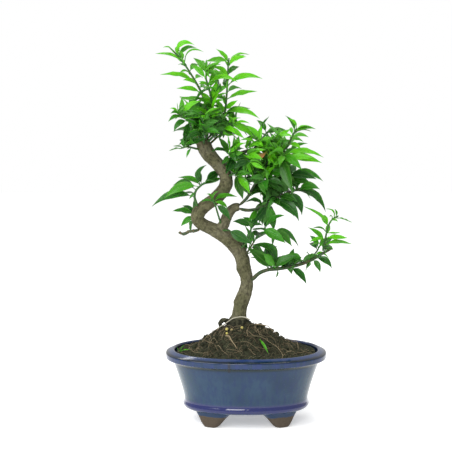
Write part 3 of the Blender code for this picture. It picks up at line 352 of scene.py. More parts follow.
def glaze_and_clay():
    """Blue glaze that runs deeper at the foot roll and breaks dark at the edges, over bare clay feet, with
    painted shadow under the lip, painted shade at the rim's inner edge, a painted lighter rim top and a
    painted greenish reflection at both ends of the oval. Heights are in millimetres above the ground."""
    paint = Paint("blue_glaze", Coat_Roughness=0.04, Specular_IOR_Level=0.30)
    foot_top, lip_top = (round(float(level) / MM, 3) for level in (FOOT_HEIGHT, RIM_TOP - RIM_FALL))
    lip_foot = lip_top - LIP_HEIGHT / MM
    drip_left = 16 * MM
    streaks = paint.noise(1.0, 4, paint.stretched(330, 330, 38))
    clouds, drift = paint.noise(38.0, 3), paint.noise(16.0, 2)
    x, y, height = paint.axis(0), paint.axis(1), paint.height()
    z = height + (drift - 0.5) * 1.2
    # the oval's ends, which turn from view, for a painted greenish reflection
    ends = ((x - float(POT_MIDDLE[0])).maths("ABSOLUTE") * 1000).between(40, 70)
    roll = z.between(foot_top, foot_top + 3) * z.between(foot_top + 10, foot_top + 7)
    lip = height.between(lip_foot - 0.9, lip_foot + 0.5)
    lip_blue = paint.mix(streaks.between(0.35, 0.7), (0.005, 0.026, 0.068), (0.010, 0.026, 0.110))
    spot = ((x - float(POT_MIDDLE[0] - drip_left)) * 1000).band(0.0, 2.0) * y.between(0.0, -0.03)
    drip = spot * z.between(lip_foot - 5.5, lip_foot - 3.5) * z.between(lip_top + 2, lip_top - 1)
    body = paint.layered(
        paint.mix(clouds.between(0.3, 0.75), (0.008, 0.031, 0.066), (0.018, 0.050, 0.096)),
        # violet streaks, and a painted greenish reflection at both ends of the oval, where the sides turn
        # from view
        (streaks.between(0.40, 0.70) * 0.75, (0.009, 0.026, 0.088)),
        (ends * (1 - streaks * 0.6) * 0.7, (0.022, 0.074, 0.068)),
        # deeper blue towards the lip, on the foot roll and under it
        (z.between(lip_foot - 15.5, lip_foot - 2.5) * 0.45, (0.012, 0.034, 0.090)),
        (roll * 0.9, (0.009, 0.012, 0.095)),
        (z.between(foot_top + 1, foot_top - 1), (0.009, 0.028, 0.070)),
        # the lip, the broken dark line under it, its lighter crest and its dark edges
        (lip, lip_blue),
        # the line under the lip is glaze breaking dark, with painted shadow of the lip's overhang
        (height.band(lip_foot - 1.8, 3.0) * streaks.between(0.0, 0.36), (0.006, 0.018, 0.015)),
        # painted light: the rim's upward-facing top is drawn lighter
        (height.between(lip_top + 0.8, lip_top + 1.8) * 0.8, (0.017, 0.040, 0.130)),
        (height.band(lip_top + 0.2, 1.5) * 0.95, (0.004, 0.009, 0.014)),
        # thin glaze with painted shade at the rim's inner edge, where it turns down into the pot
        (paint.value("inner_edge") * 0.9, (0.018, 0.022, 0.030)),
        # a dark drip at the front, and pale specks
        (drip * streaks.between(0.2, 0.5) * 0.85, (0.013, 0.012, 0.012)),
        (paint.noise(900.0, 2).between(0.66, 0.74) * 0.25, (0.09, 0.14, 0.24)))
    slant, grog = paint.noise(70.0, 2), paint.noise(700.0, 4)
    bare = (height + (slant - 0.5) * 5).between(foot_top - 3.1, foot_top - 3.9)
    clay = paint.mix(grog, (0.050, 0.038, 0.026), (0.094, 0.072, 0.050))
    paint.bump(streaks * 0.25 + clouds * 0.5 + bare * grog * 0.8, 0.00035)
    return paint.give(Base_Color=paint.mix(bare, body, clay), Roughness=0.12 + bare * 0.73,
                      Coat_Weight=(1 - bare) * (0.14 + roll * 0.5 + lip * 0.12))


def peat():
    """Dark crumbly peat with brown and grey crumbs."""
    paint = Paint("peat_soil", Specular_IOR_Level=0.2)
    crumbs, clods = paint.noise(420.0, 5, roughness=0.7), paint.noise(110.0, 3)
    colour = paint.layered(
        paint.mix(crumbs.between(0.3, 0.75), (0.006, 0.0072, 0.0036), (0.058, 0.064, 0.034)),
        (clods.between(0.45, 0.8) * 0.6, (0.036, 0.038, 0.022)),
        (paint.noise(1500.0, 2).between(0.64, 0.72) * 0.6, (0.15, 0.130, 0.07)))
    paint.bump(crumbs + clods * 0.5, 0.0012)
    return paint.give(Base_Color=colour, Roughness=0.8 + crumbs * 0.2)


def fibre():
    """Dry roots in the peat, from dark brown to pale straw, and grey at the palest tone."""
    paint = Paint("root_fibre", Specular_IOR_Level=0.25, Roughness=0.75)
    tone, grain = paint.value("tone"), paint.noise(900.0, 3)
    colour = paint.layered(
        paint.mix(tone, (0.038, 0.030, 0.016), (0.44, 0.35, 0.21)),
        (grain * 0.35, (0.10, 0.062, 0.035)),
        (tone.between(0.9, 1.0) * 0.9, (0.40, 0.385, 0.30)))
    paint.bump(grain, 0.0002)
    return paint.give(Base_Color=colour)


def bark():
    """Grey-brown bark: pale ridges, dark cracks, olive films of algae, earth on its foot, darker cut ends."""
    paint = Paint("bark", Specular_IOR_Level=0.25)
    grain, fine = paint.noise(330.0, 6, roughness=0.68), paint.noise(1300.0, 3)
    patches = paint.noise(55.0, 3)
    stain = paint.height() + (patches - 0.5) * 8
    earth = paint.mix(grain.between(0.4, 0.65), (0.007, 0.008, 0.004), (0.052, 0.052, 0.029))
    colour = paint.layered(
        paint.mix(grain.between(0.3, 0.72), (0.048, 0.046, 0.022), (0.160, 0.150, 0.080)),
        (patches.between(0.42, 0.68) * 0.55, (0.070, 0.074, 0.032)),
        (patches.between(0.56, 0.40) * 0.30, (0.172, 0.164, 0.112)),
        (paint.value("crack").between(0.3, 1.0) * 0.55, (0.030, 0.023, 0.014)),
        (fine.between(0.62, 0.72) * 0.35, (0.23, 0.20, 0.15)),
        (stain.between(99.5, 94.0) * 0.95, earth),
        (paint.value("cut"), (0.050, 0.034, 0.022)))
    paint.bump(grain * 0.7 + fine * 0.3, 0.0011)
    return paint.give(Base_Color=colour, Roughness=0.78 + grain * 0.2)


def stem_skin(name, green, brown, share):
    """Green stem skin that turns to brown bark by a share, with pale specks."""
    paint = Paint(name, Specular_IOR_Level=0.35, Subsurface_Weight=0.05)
    grain, patch = paint.noise(480.0, 4), paint.noise(90.0, 2)
    colour = paint.mix(patch.between(0.55 - share, 0.85 - share), green, brown)
    colour = paint.mix(grain.between(0.5, 0.8) * 0.4, colour, tuple(1.5 * c for c in green))
    paint.bump(grain, 0.0004)
    return paint.give(Base_Color=colour, Roughness=0.48 + grain * 0.25)


def leaf_skin():
    """Leaf: old dark green to young yellow-green by a number that holds age and painted light, so that inner,
    low and back leaves are painted in shade and the crown's top painted lighter, with a midrib, side veins
    and a paler underside.
    """
    paint = Paint("leaf", Specular_IOR_Level=0.22, Subsurface_Weight=0.08, Subsurface_Scale=0.002,
                  Subsurface_Radius=(0.3, 1.0, 0.1))
    age_and_light, under = paint.value("age_and_light"), paint.value("under")
    blade = paint.node("ShaderNodeUVMap", {"uv_map": "blade"})
    across, along = paint.axis(0, blade), paint.axis(1, blade)
    side = (across - 0.5).maths("ABSOLUTE") * 2
    rib = side.between(0.10, 0.02)
    veins = (along * 13 - side * 2.2).maths("FRACT")
    vein = (veins - 0.5).maths("ABSOLUTE").between(0.10, 0.0) * side.between(1.0, 0.7)
    cells, blotch = paint.noise(650.0, 3), paint.noise(120.0, 2)
    # the dark green paints shade on inner and low leaves as well as age on old ones; the yellow-green paints
    # light on the crown's top as well as young leaves
    old = paint.mix(blotch, (0.004, 0.038, 0.005), (0.012, 0.072, 0.008))
    middle = paint.mix(blotch, (0.017, 0.150, 0.006), (0.038, 0.225, 0.010))
    young = paint.mix(blotch, (0.074, 0.400, 0.003), (0.135, 0.530, 0.008))
    colour = paint.layered(
        old,
        (age_and_light.between(0.0, 0.55), middle),
        (age_and_light.between(0.45, 1.0), young),
        (paint.value("tint") * 0.35, (0.10, 0.28, 0.015)))
    colour = paint.layered(
        colour,
        (rib * 0.5 + vein * 0.07, paint.mix(0.35, colour, (0.20, 0.42, 0.08))),
        (cells.between(0.4, 0.7) * 0.18, (0.01, 0.06, 0.008)),
        (under * 0.45, (0.09, 0.26, 0.05)),
        (paint.value("dry"), (0.42, 0.19, 0.07)))
    paint.bump(1 - rib * 0.8 - vein * 0.35 + cells * 0.12, 0.00022)
    return paint.give(Base_Color=colour, Roughness=0.25 + under * 0.35)


def pellet_skin():
    """Fertiliser pellets: ochre grains with a dusty bloom."""
    paint = Paint("fertiliser", Specular_IOR_Level=0.3, Roughness=0.8)
    grain = paint.noise(900.0, 4)
    colour = paint.mix(paint.value("tone"), (0.22, 0.15, 0.08), (0.46, 0.40, 0.10))
    colour = paint.mix(grain.between(0.4, 0.8) * 0.6, colour, (0.56, 0.50, 0.28))
    paint.bump(grain, 0.0004)
    return paint.give(Base_Color=colour)


def moulded_plastic():
    """Black moulded plastic with a fine matt texture and a little dust."""
    paint = Paint("black_plastic", Specular_IOR_Level=0.4)
    texture, dust = paint.noise(2200.0, 2), paint.noise(240.0, 4)
    colour = paint.mix(dust.between(0.5, 0.8) * 0.4, (0.018, 0.018, 0.019), (0.09, 0.075, 0.06))
    paint.bump(texture, 0.00008)
    return paint.give(Base_Color=colour, Roughness=0.45 + dust * 0.3)


def pale_ground():
    """Matt white ground with faint specks, a little lit from within."""
    paint = Paint("pale_ground", Roughness=0.9, Emission_Color=(1, 1, 1, 1), Emission_Strength=0.4)
    speckle = paint.noise(40.0, 2)
    return paint.give(Base_Color=paint.mix(speckle, (0.90, 0.90, 0.90), (0.92, 0.92, 0.92)))


# ---- the pot -------------------------------------------------------------------------------------


def oval(angle, inset):
    """x and y on a superellipse: each half length less the inset, times |cos| or |sin| to the power 2/n."""
    c, s = np.cos(angle), np.sin(angle)
    share = 2 / OVAL_POWER
    x = np.sign(c) * np.abs(c) ** share * (POT_HALF[0] - inset)
    y = np.sign(s) * np.abs(s) ** share * (POT_HALF[1] - inset)
    return np.stack([x, y], -1)


def fullness(xy, inset):
    """|x / a|^n + |y / b|^n for the half lengths less an inset: 1 on that oval's edge, and less inside it."""
    return (np.abs(xy / (POT_HALF - inset)) ** OVAL_POWER).sum(-1)


def even_angles(count):
    """Angles that space points evenly along the oval, by its measured length."""
    fine = np.linspace(0, 2 * np.pi, 8 * count + 1)
    steps = np.linalg.norm(np.diff(oval(fine, 0), axis=0), axis=1)
    length = np.concatenate([[0], np.cumsum(steps)])
    return np.interp(np.arange(count) / count * length[-1], length, fine)


def outer_wall(height):
    """The wall's inset at a height: upright at its foot, then flaring by a power to the rim's underside."""
    low, top = FOOT_HEIGHT + 9 * MM, RIM_TOP - RIM_FALL - LIP_HEIGHT
    share = np.clip((height - low) / (top - low), 0, 1)
    return WAIST_INSET - (WAIST_INSET - LIP_INSET) * share ** WALL_BEND


def inner_wall(height):
    """The inner wall's inset at a height: the outer wall's plus the wall, and never less than the rim."""
    return np.maximum(RIM_WIDTH, outer_wall(height) + WALL)


def rounded(corners, radius, steps=5):
    """A line through (inset, height) corners, each corner turned into a small curve."""
    corners = np.asarray(corners, float)
    t = np.linspace(0, 1, steps)[:, None]
    line = [corners[:1]]
    for before, corner, after in zip(corners, corners[1:], corners[2:]):
        back, ahead = before - corner, after - corner
        a = corner + back * min(0.5, radius / np.linalg.norm(back))
        b = corner + ahead * min(0.5, radius / np.linalg.norm(ahead))
        line.append(a * (1 - t) ** 2 + corner * 2 * t * (1 - t) + b * t * t)
    return np.vstack([*line, corners[-1:]])


def inner_edge(points):
    """How dark the rim's inner edge is, from thin glaze and from painted shade where it turns down into the
    pot: a bell of the height round it, inside the edge's oval only, times a slow sine of the angle."""
    x, y, z = points.T
    near = np.exp(-((z - (RIM_TOP - 0.9 * MM)) / (0.9 * MM)) ** 2)
    angle = np.arctan2(y / POT_HALF[1], x / POT_HALF[0])
    return near * (fullness(points[:, :2], RIM_WIDTH) < 1.05) * (0.75 + 0.25 * np.sin(7 * angle))


def make_pot(finish):
    """The pot's profile, from the middle of the underside round the lip to the middle of the floor, carried
    round the oval; four feet and two drain holes are then joined and cut."""
    sides = 300
    angles = even_angles(sides)
    lip_top = RIM_TOP - RIM_FALL
    lip_foot = lip_top - LIP_HEIGHT
    roll = np.radians(np.linspace(270, 180, 9))
    underside = np.stack([WAIST_INSET + 3.5 * MM + FOOT_ROLL * np.cos(roll),
                          FOOT_HEIGHT + FOOT_ROLL * (1 + np.sin(roll))], -1)
    heights = np.linspace(FOOT_HEIGHT + 6 * MM, lip_foot - 2.5 * MM, 30)
    # the roll stands a little proud of the wall above it
    proud = 1.3 * MM * np.exp(-((heights - FOOT_HEIGHT - 5 * MM) / (3.5 * MM)) ** 2)
    wall = np.stack([outer_wall(heights) + 0.5 * MM - proud * 0.35, heights], -1)
    lip = rounded([(outer_wall(lip_foot - 1 * MM), lip_foot - 1.4 * MM), (4.2 * MM, lip_foot - 0.3 * MM),
                   (0.2 * MM, lip_foot + 0.2 * MM), (0, lip_top - 0.3 * MM), (1.3 * MM, lip_top + 0.5 * MM),
                   (RIM_WIDTH - 1.5 * MM, RIM_TOP - 0.1 * MM), (RIM_WIDTH, RIM_TOP - 1.2 * MM),
                   (RIM_WIDTH + 0.1 * MM, RIM_TOP - 10 * MM)], 1.3 * MM, 6)
    inside = np.linspace(RIM_TOP - 11 * MM, FOOT_HEIGHT + FLOOR + 4 * MM, 9)
    inner = np.stack([inner_wall(inside), inside], -1)
    fillet = rounded([inner[-1], (inner_wall(FOOT_HEIGHT + FLOOR), FOOT_HEIGHT + FLOOR),
                      (inner_wall(FOOT_HEIGHT + FLOOR) + 6 * MM, FOOT_HEIGHT + FLOOR)], 4 * MM)[1:]
    profile = np.vstack([underside, wall, lip, inner, fillet])
    shares = np.concatenate([[1e-6, 0.4, 0.8], np.ones(len(profile)), [0.8, 0.4, 1e-6]])
    profile = np.vstack([np.repeat(profile[:1], 3, 0), profile, np.repeat(profile[-1:], 3, 0)])
    xy = oval(angles[None], profile[:, :1]) * shares[:, None, None]
    z = np.broadcast_to(profile[:, 1:], xy.shape[:2])
    points = raised(xy, z)
    # the hand-made wall wavers
    waver = soft_noise(points.reshape(-1, 3), 38 * MM, 5).reshape(z.shape) * WAVER * MM
    outward = unit(raised(xy, np.zeros(z.shape)))
    points = points - outward * (WAVER * MM + waver)[..., None] * (shares == 1)[:, None, None]
    mesh = new_mesh("pot", points.reshape(-1, 3) + POT_MIDDLE, grid_faces(*z.shape), merge=3e-6)
    for middle in (FOOT_ANGLE, np.pi - FOOT_ANGLE, np.pi + FOOT_ANGLE, -FOOT_ANGLE):
        mesh = joined(mesh, foot_mesh(middle), "UNION")
    for side in (-1, 1):
        mesh = joined(mesh, drain_form(side * DRAIN_SPACING / 2), "DIFFERENCE")
    give_values(mesh, "inner_edge", inner_edge(mesh_points(mesh) - POT_MIDDLE))
    made = add_piece("glazed_pot", mesh, finish, "blue_glaze", "pot")
    mesh.set_sharp_from_angle(angle=np.radians(50))
    return made


def foot_mesh(middle):
    """A foot: a piece of the oval's ring whose spread and depth shrink downwards along a smooth curve through
    rows of height, share of the spread, and how far its front and back draw in."""
    levels = through([(17.5, 1.24, 0, -2), (15, 1.14, -0.4, -1), (12.6, 1.0, -0.4, 0),
                      (10.6, 0.88, -0.1, 0.3), (8.1, 0.74, 0.1, 1), (5, 0.60, 0.2, 2), (1.9, 0.44, 0.6, 3),
                      (0.4, 0.33, 1.3, 3.8), (0, 0.23, 2.4, 4.8)], 0.9)
    outside = WAIST_INSET + 2.5 * MM
    turn = np.linspace(-1, 1, 28)
    height, spread, outer_back, inner_back = (levels[:, k:k + 1] for k in range(4))
    # a superelliptic end rounds the foot's upright edges
    bulge = (1 - np.abs(turn) ** 6)[None] ** 0.5
    depth = FOOT_DEPTH - (inner_back + outer_back) * MM
    centre = outside + outer_back * MM + depth / 2
    front = oval(middle + turn[None] * FOOT_SPREAD * spread, centre - depth / 2 * bulge)
    back = oval(middle - turn[None] * FOOT_SPREAD * spread, centre + depth / 2 * bulge)
    xy = np.concatenate([front, back[:, 1:-1]], 1)
    columns = xy.shape[1]
    points = raised(xy, np.broadcast_to(height * MM, (len(levels), columns)))
    first = np.repeat(points[:1].mean(1, keepdims=True), columns, 1)
    last = np.repeat(points[-1:].mean(1, keepdims=True), columns, 1)
    points = np.concatenate([first, points, last])
    points = points.reshape(-1, 3) + POT_MIDDLE
    return face_outwards(new_mesh("foot_form", points, grid_faces(len(points) // columns, columns), 1e-6))


def drain_form(x):
    """A short round bar through the floor."""
    sides = 48
    turn = 2 * np.pi * np.arange(sides) / sides
    radius = np.array([1e-6, DRAIN_RADIUS, DRAIN_RADIUS, 1e-6])[:, None]
    z = np.array([-1, -1, 1, 1])[:, None] * 9 * MM + FOOT_HEIGHT + FLOOR / 2
    points = np.stack([x + radius * np.cos(turn), radius * np.sin(turn), np.broadcast_to(z, (4, sides))], -1)
    points = points.reshape(-1, 3) + POT_MIDDLE
    return face_outwards(new_mesh("drain_form", points, grid_faces(4, sides), 3e-6))


def face_outwards(mesh):
    """The mesh with all its faces turned outwards."""
    form = bmesh.new()
    form.from_mesh(mesh)
    bmesh.ops.recalc_face_normals(form, faces=form.faces[:])
    form.to_mesh(mesh)
    form.free()
    return mesh


def joined(mesh, other, operation):
    """One mesh joined with, or cut by, another."""
    tool = placed("tool", other)
    made = finished(mesh, ("BOOLEAN", {"operation": operation, "object": tool, "solver": "EXACT"}))
    bpy.data.objects.remove(tool)
    return made


# ---- the soil ------------------------------------------------------------------------------------


def mound(share, angle):
    """The smooth mound: a raised cosine from its top to the rim, plus slow lumps."""
    slope = (0.5 + 0.5 * np.cos(np.pi * np.minimum(1, share * 1.04))) ** 0.85
    lumps = np.sin(3 * angle + 1) + 0.7 * np.sin(5 * angle + 4 * share) + 0.5 * np.sin(9 * share + angle)
    return SOIL_EDGE + MOUND_HEIGHT * slope + 0.9 * MM * lumps * np.minimum(1, 4 * share * (1 - share))


def crumble(xy):
    """Clods and crumbs over the mound: ridged noise in two sizes and fine noise."""
    flat = raised(xy, np.zeros(xy.shape[:-1]))
    clods = 1 - np.abs(rough_noise(flat, 7 * MM, 3, 3))
    crumbs = rough_noise(flat, 2.2 * MM, 3, 11)
    return 1.5 * MM * (clods - 0.75) + 0.75 * MM * crumbs


def soil_top(xy):
    """The crumbly soil's height under points measured from the pot's middle. How far out a point lies on the
    mound, whose top is off the middle, is found by a few rounds of the same sum."""
    inset = inner_wall(SOIL_EDGE)
    share = np.zeros(xy.shape[:-1])
    for _ in range(12):
        place = xy - MOUND_TOP * (1 - share)[..., None]
        share = np.minimum(1, fullness(place, inset) ** (1 / OVAL_POWER))
    across, along = np.moveaxis(place / (POT_HALF - inset), -1, 0)
    return mound(share, np.arctan2(along, across)) + crumble(xy)


def make_soil(finish):
    """A polar height field over the whole pot, with a plain side and underside that close it."""
    sides, rings = 460, 150
    angles = even_angles(sides)
    share = (np.arange(rings, 0, -1) / rings)[:, None] ** 0.85
    edge = oval(angles, inner_wall(SOIL_EDGE) + GAP)
    top_xy = MOUND_TOP * (1 - share[..., None]) + edge[None] * share[..., None]
    flat_angle = np.arctan2(edge[:, 1] / POT_HALF[1], edge[:, 0] / POT_HALF[0])
    calm = np.clip((1 - share) / 0.02, 0.35, 1)
    top = mound(share, flat_angle[None]) + crumble(top_xy) * calm
    top = np.maximum(top, SOIL_EDGE - 3 * MM) + SOIL_RISE * (share - 0.5).clip(0) * 2
    bottom = FOOT_HEIGHT + FLOOR + 2 * MM
    heights = np.linspace(bottom, SOIL_EDGE - 4 * MM, 6)
    side_xy = oval(angles[None], inner_wall(heights)[:, None] + 2 * GAP)
    side_z = np.broadcast_to(heights[:, None], side_xy.shape[:2])
    under_xy = side_xy[:1] * np.array([1e-5, 0.5])[:, None, None]
    under_z = np.full(under_xy.shape[:2], bottom)
    crown_xy = np.broadcast_to(MOUND_TOP, (1, sides, 2)) + edge[None] * 1e-5
    crown_z = np.full((1, sides), top[-1].mean())
    xy = np.concatenate([under_xy, side_xy, top_xy, crown_xy])
    z = np.concatenate([under_z, side_z, top, crown_z])
    points = raised(xy, z).reshape(-1, 3) + POT_MIDDLE
    mesh = new_mesh("soil", points, grid_faces(*z.shape), merge=3e-6)
    return add_piece("peat_mound", mesh, finish, "peat_soil", "soil")


def scattered(count, dice, reach=0.93):
    """Places inside the rim, spread evenly by area."""
    angle, share = dice.uniform(0, 2 * np.pi, count), np.sqrt(dice.uniform(0, 1, count)) * reach
    return oval(angle, inner_wall(SOIL_EDGE)) * share[:, None]


def add_loose(name, shapes, finish, merge=None, tones=None):
    """A piece of many small shapes that lie on the soil, with a tone for each."""
    points, faces = many_grids(shapes)
    mesh = new_mesh(name, points + POT_MIDDLE, faces, merge)
    if tones is not None:
        give_values(mesh, "tone", np.repeat(tones, shapes.shape[1] * shapes.shape[2]))
    return add_piece(name, mesh, finish, "peat_soil")


def make_fibres(finish):
    """Dry roots on the soil: paths that wander level by a slowly turning heading and arch a little off it. A
    few bold ones are longer, straighter, thicker and paler."""
    dice = np.random.default_rng(7)
    count, bold_count, steps = 1050, 55, 13
    start = scattered(count, dice)
    bold = np.arange(count) < bold_count
    length = dice.gamma(3.0, 4.6, count) * MM * (1 + 0.9 * bold)
    heading = dice.uniform(0, 2 * np.pi, count)
    turns = dice.normal(0, 1, (count, steps)) * np.where(bold, 0.15, 0.30)[:, None]
    wander = np.cumsum(turns, 1) + heading[:, None]
    step = (length / steps)[:, None, None] * np.stack([np.cos(wander), np.sin(wander)], -1)
    xy = start[:, None] + np.cumsum(step, 1)
    # none leaves the oval of the soil
    size = fullness(xy, inner_wall(SOIL_EDGE) + 1.5 * MM)
    xy = xy / np.maximum(1, size ** (1 / OVAL_POWER))[..., None]
    t = np.linspace(0, 1, steps)
    arch = (dice.gamma(1.3, 0.75, count) + 0.5 * bold)[:, None] * MM * 4 * t * (1 - t)
    arch = arch + dice.normal(0.1, 0.35, (count, 1)) * MM
    lines = raised(xy, soil_top(xy) + arch)
    lines[:, 1:-1] = (lines[:, :-2] + 2 * lines[:, 1:-1] + lines[:, 2:]) / 4
    radius = (0.06 + 0.30 * dice.beta(1.0, 4.0, count) + 0.12 * bold)[:, None] * MM * (1 - 0.55 * t)
    tones = np.where(bold, dice.uniform(0.45, 0.88, count), dice.beta(0.8, 2.4, count))
    return add_loose("soil_fibres", tube_shapes(lines, radius, 5), finish, tones=tones)


def bumpy_balls(centres, radii, seed, rows, columns, rough=0.35):
    """Round lumps: balls whose radius varies by noise of their own direction and place."""
    up = np.pi * np.arange(rows + 1) / rows
    turn = 2 * np.pi * np.arange(columns) / columns
    way = np.stack([np.sin(up)[:, None] * np.cos(turn), np.sin(up)[:, None] * np.sin(turn),
                    np.broadcast_to(-np.cos(up)[:, None], (rows + 1, columns))], -1)
    bump = 1 + rough * soft_noise(way[None] * 1.3 + centres[:, None, None] * 900, 1.0, seed)
    return centres[:, None, None] + way[None] * (bump * radii[:, None, None])[..., None]


def make_crumbs(finish):
    """Loose crumbs of peat that lie on the mound."""
    dice = np.random.default_rng(3)
    count = 900
    xy = scattered(count, dice, 0.96)
    radii = dice.gamma(2.5, 0.26, count) * MM + 0.2 * MM
    centres = raised(xy, soil_top(xy) + radii * 0.35)
    return add_loose("peat_crumbs", bumpy_balls(centres, radii, 21, 5, 7), finish, merge=2e-6)


# pale roots over the foot of the trunk: tone, radius at both ends, points
SURFACE_ROOTS = [
    (1.0, 0.58, 0.36, [(3, -8.5, 96), (-2, -10.2, 98.6), (-7, -10.8, 98.8), (-13, -10.6, 97.2),
                       (-17, -9.6, 94.5), (-21, -8.4, 91.2), (-27, -7.5, 87.5)]),
    (0.55, 0.4, 0.25, [(9, -6, 91), (14, -9, 91.5), (21, -11, 89.5), (27, -14, 84)]),
    (0.8, 0.5, 0.3, [(-19, -20, 83), (-16, -23, 83), (-13, -27, 79), (-9, -31, 73.5)]),
]


def make_surface_roots(finish):
    """Each root: its points set evenly on a curve, then moved by soft noise, as is its radius."""
    t = np.linspace(0, 1, 40)
    shapes = []
    for _, thick, thin, table in SURFACE_ROOTS:
        line = through(table, 1.0) * MM
        line = np.stack([np.interp(t, np.linspace(0, 1, len(line)), part) for part in line.T], -1)
        line = line + 0.35 * MM * np.stack([soft_noise(line + k, 4 * MM, k) for k in range(3)], -1)
        radius = (thick + (thin - thick) * t) * MM * (1 + 0.15 * soft_noise(line, 2 * MM, 9))
        shapes.append(tube_shapes(line[None], radius[None], 10))
    return add_loose("surface_roots", np.concatenate(shapes), finish, tones=[row[0] for row in SURFACE_ROOTS])


def make_pellets(finish):
    """Each pellet: a fine bumpy ball of the size and at the place of its CAD node."""
    for name, tone in (("pellet_1", 0.95), ("pellet_2", 0.25), ("pellet_3", 0.8), ("pellet_4", 1.0)):
        low, high = (np.array(corner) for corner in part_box(name))
        centre, radius = (low + high) / 2, (high - low).mean() / 2
        ball = bumpy_balls(centre[None], np.array([radius]), 4, 20, 26, 0.12)
        mesh = new_mesh(name, *many_grids(ball), merge=2e-6)
        give_values(mesh, "tone", np.full(len(mesh.vertices), tone))
        add_piece(f"fertiliser_{name}", mesh, finish, "fertiliser", name)


# ---- the trunk -----------------------------------------------------------------------------------

TRUNK = [(-9, 1, 74, 8.5), (-8, 0, 86, 10.5), (-7.3, 0, 93, 9.2), (-6.6, 0, 99, 7.0),
         (-5.5, 0, 106, 6.4), (-3.8, 0, 113, 6.7), (-1.2, 1, 120, 6.3), (0.7, 2, 128, 5.8),
         (0, 2, 135, 5.8), (-2, 2, 142, 6.1), (-3.4, 2, 150, 6.1), (-6.5, 2, 158, 6.3),
         (-11.5, 2, 165, 6.8), (-18, 1, 171.5, 7.0), (-25.5, 0, 176.5, 6.7),
         (-33, -1, 180.3, 5.9), (-40, -2, 183.6, 5.7), (-44.6, -3, 188.5, 5.9),
         (-43.6, -4, 195, 6.2), (-38.5, -5, 200.8, 6.0), (-31.5, -5, 206, 5.7),
         (-25, -4, 211, 6.3), (-20.4, -2, 217, 6.0), (-18.6, 0, 224, 5.6),
         (-20, 1, 230.5, 5.7), (-24.5, 2, 237, 5.9), (-30.5, 3, 243.5, 6.2),
         (-35.8, 3, 250, 6.6), (-39.2, 3, 256.5, 6.6), (-40.6, 2, 262, 6.0)]
LIMB = [(-27, 0, 177, 4.7), (-21.5, -1, 182.5, 5.1), (-18.3, -1, 189.5, 4.8),
        (-15, -1, 195.6, 4.5), (-10.8, -1, 199.3, 4.2), (-6.4, -1, 199.8, 3.7)]
ROOTS = [
    [(-9, 0, 91, 4.8), (-15, -3, 92.6, 2.6), (-19.5, -4, 94.6, 2.2), (-23, -4, 93.4, 2.1),
     (-24, -5, 88.5, 1.4), (-22.5, -5, 82, 1.2)],
    [(-6, 0, 92, 5.5), (0, -1, 91, 4.5), (5, -2, 86, 3.6), (10, -3, 76, 2.4)],
    [(-7, -3, 90, 5), (-9, -10, 84, 3.6), (-13, -19, 77, 2.6), (-16, -27, 67, 1.8)],
    [(-6, 3, 90, 5), (-4, 11, 85, 3.6), (-2, 20, 77, 2.6), (0, 28, 67, 1.8)],
    [(-10, 1, 88, 5), (-17, 6, 80, 3), (-26, 10, 70, 2), (-34, 13, 60, 1.4)],
]
# old branch scars: x, y, z of the middle, its radius, and how far it stands out
KNOBS = [(-9.5, -1, 141, 2.6, 1.4), (-12, 0, 112, 2.6, 1.2), (-3.5, -4, 166, 3.0, 0.9),
         (-48, -5, 190, 3.2, 0.8), (-15, -3, 221, 3.0, 0.8), (-38, -4, 239, 3.0, 0.7),
         (2, 6, 152, 3.0, 1.0), (-30, 5, 172, 3.2, 0.9)]


LINE_STEP = 1.2


def wood_line():
    """Rows of (x, y, z, radius) along the trunk and then the limb, measured from the pot's middle."""
    return np.vstack([through(table, LINE_STEP) * MM for table in (TRUNK, LIMB)])


def limb_mesh(table):
    """A tapering round limb along (x, y, z, radius) rows, closed at both ends."""
    sides = 40
    line = through(table, LINE_STEP) * MM
    centres, radii = line[:, :3], line[:, 3]
    ahead = unit(np.gradient(centres, axis=0))
    across = [unit(np.cross(ahead[0], [0.1, 1.0, 0.1]))]
    for way in ahead[1:]:
        across.append(unit(across[-1] - way * (across[-1] @ way)))
    across = np.array(across)
    other = np.cross(ahead, across)
    turn = 2 * np.pi * np.arange(sides) / sides
    ring = across[:, None] * np.cos(turn)[:, None] + other[:, None] * np.sin(turn)[:, None]
    shapes = centres[:, None] + ring * radii[:, None, None]
    first, last = (np.repeat(end[:, None], sides, 1) for end in (centres[:1], centres[-1:]))
    shapes = np.concatenate([first, shapes, last])
    return shapes.reshape(-1, 3), grid_faces(len(shapes), sides)


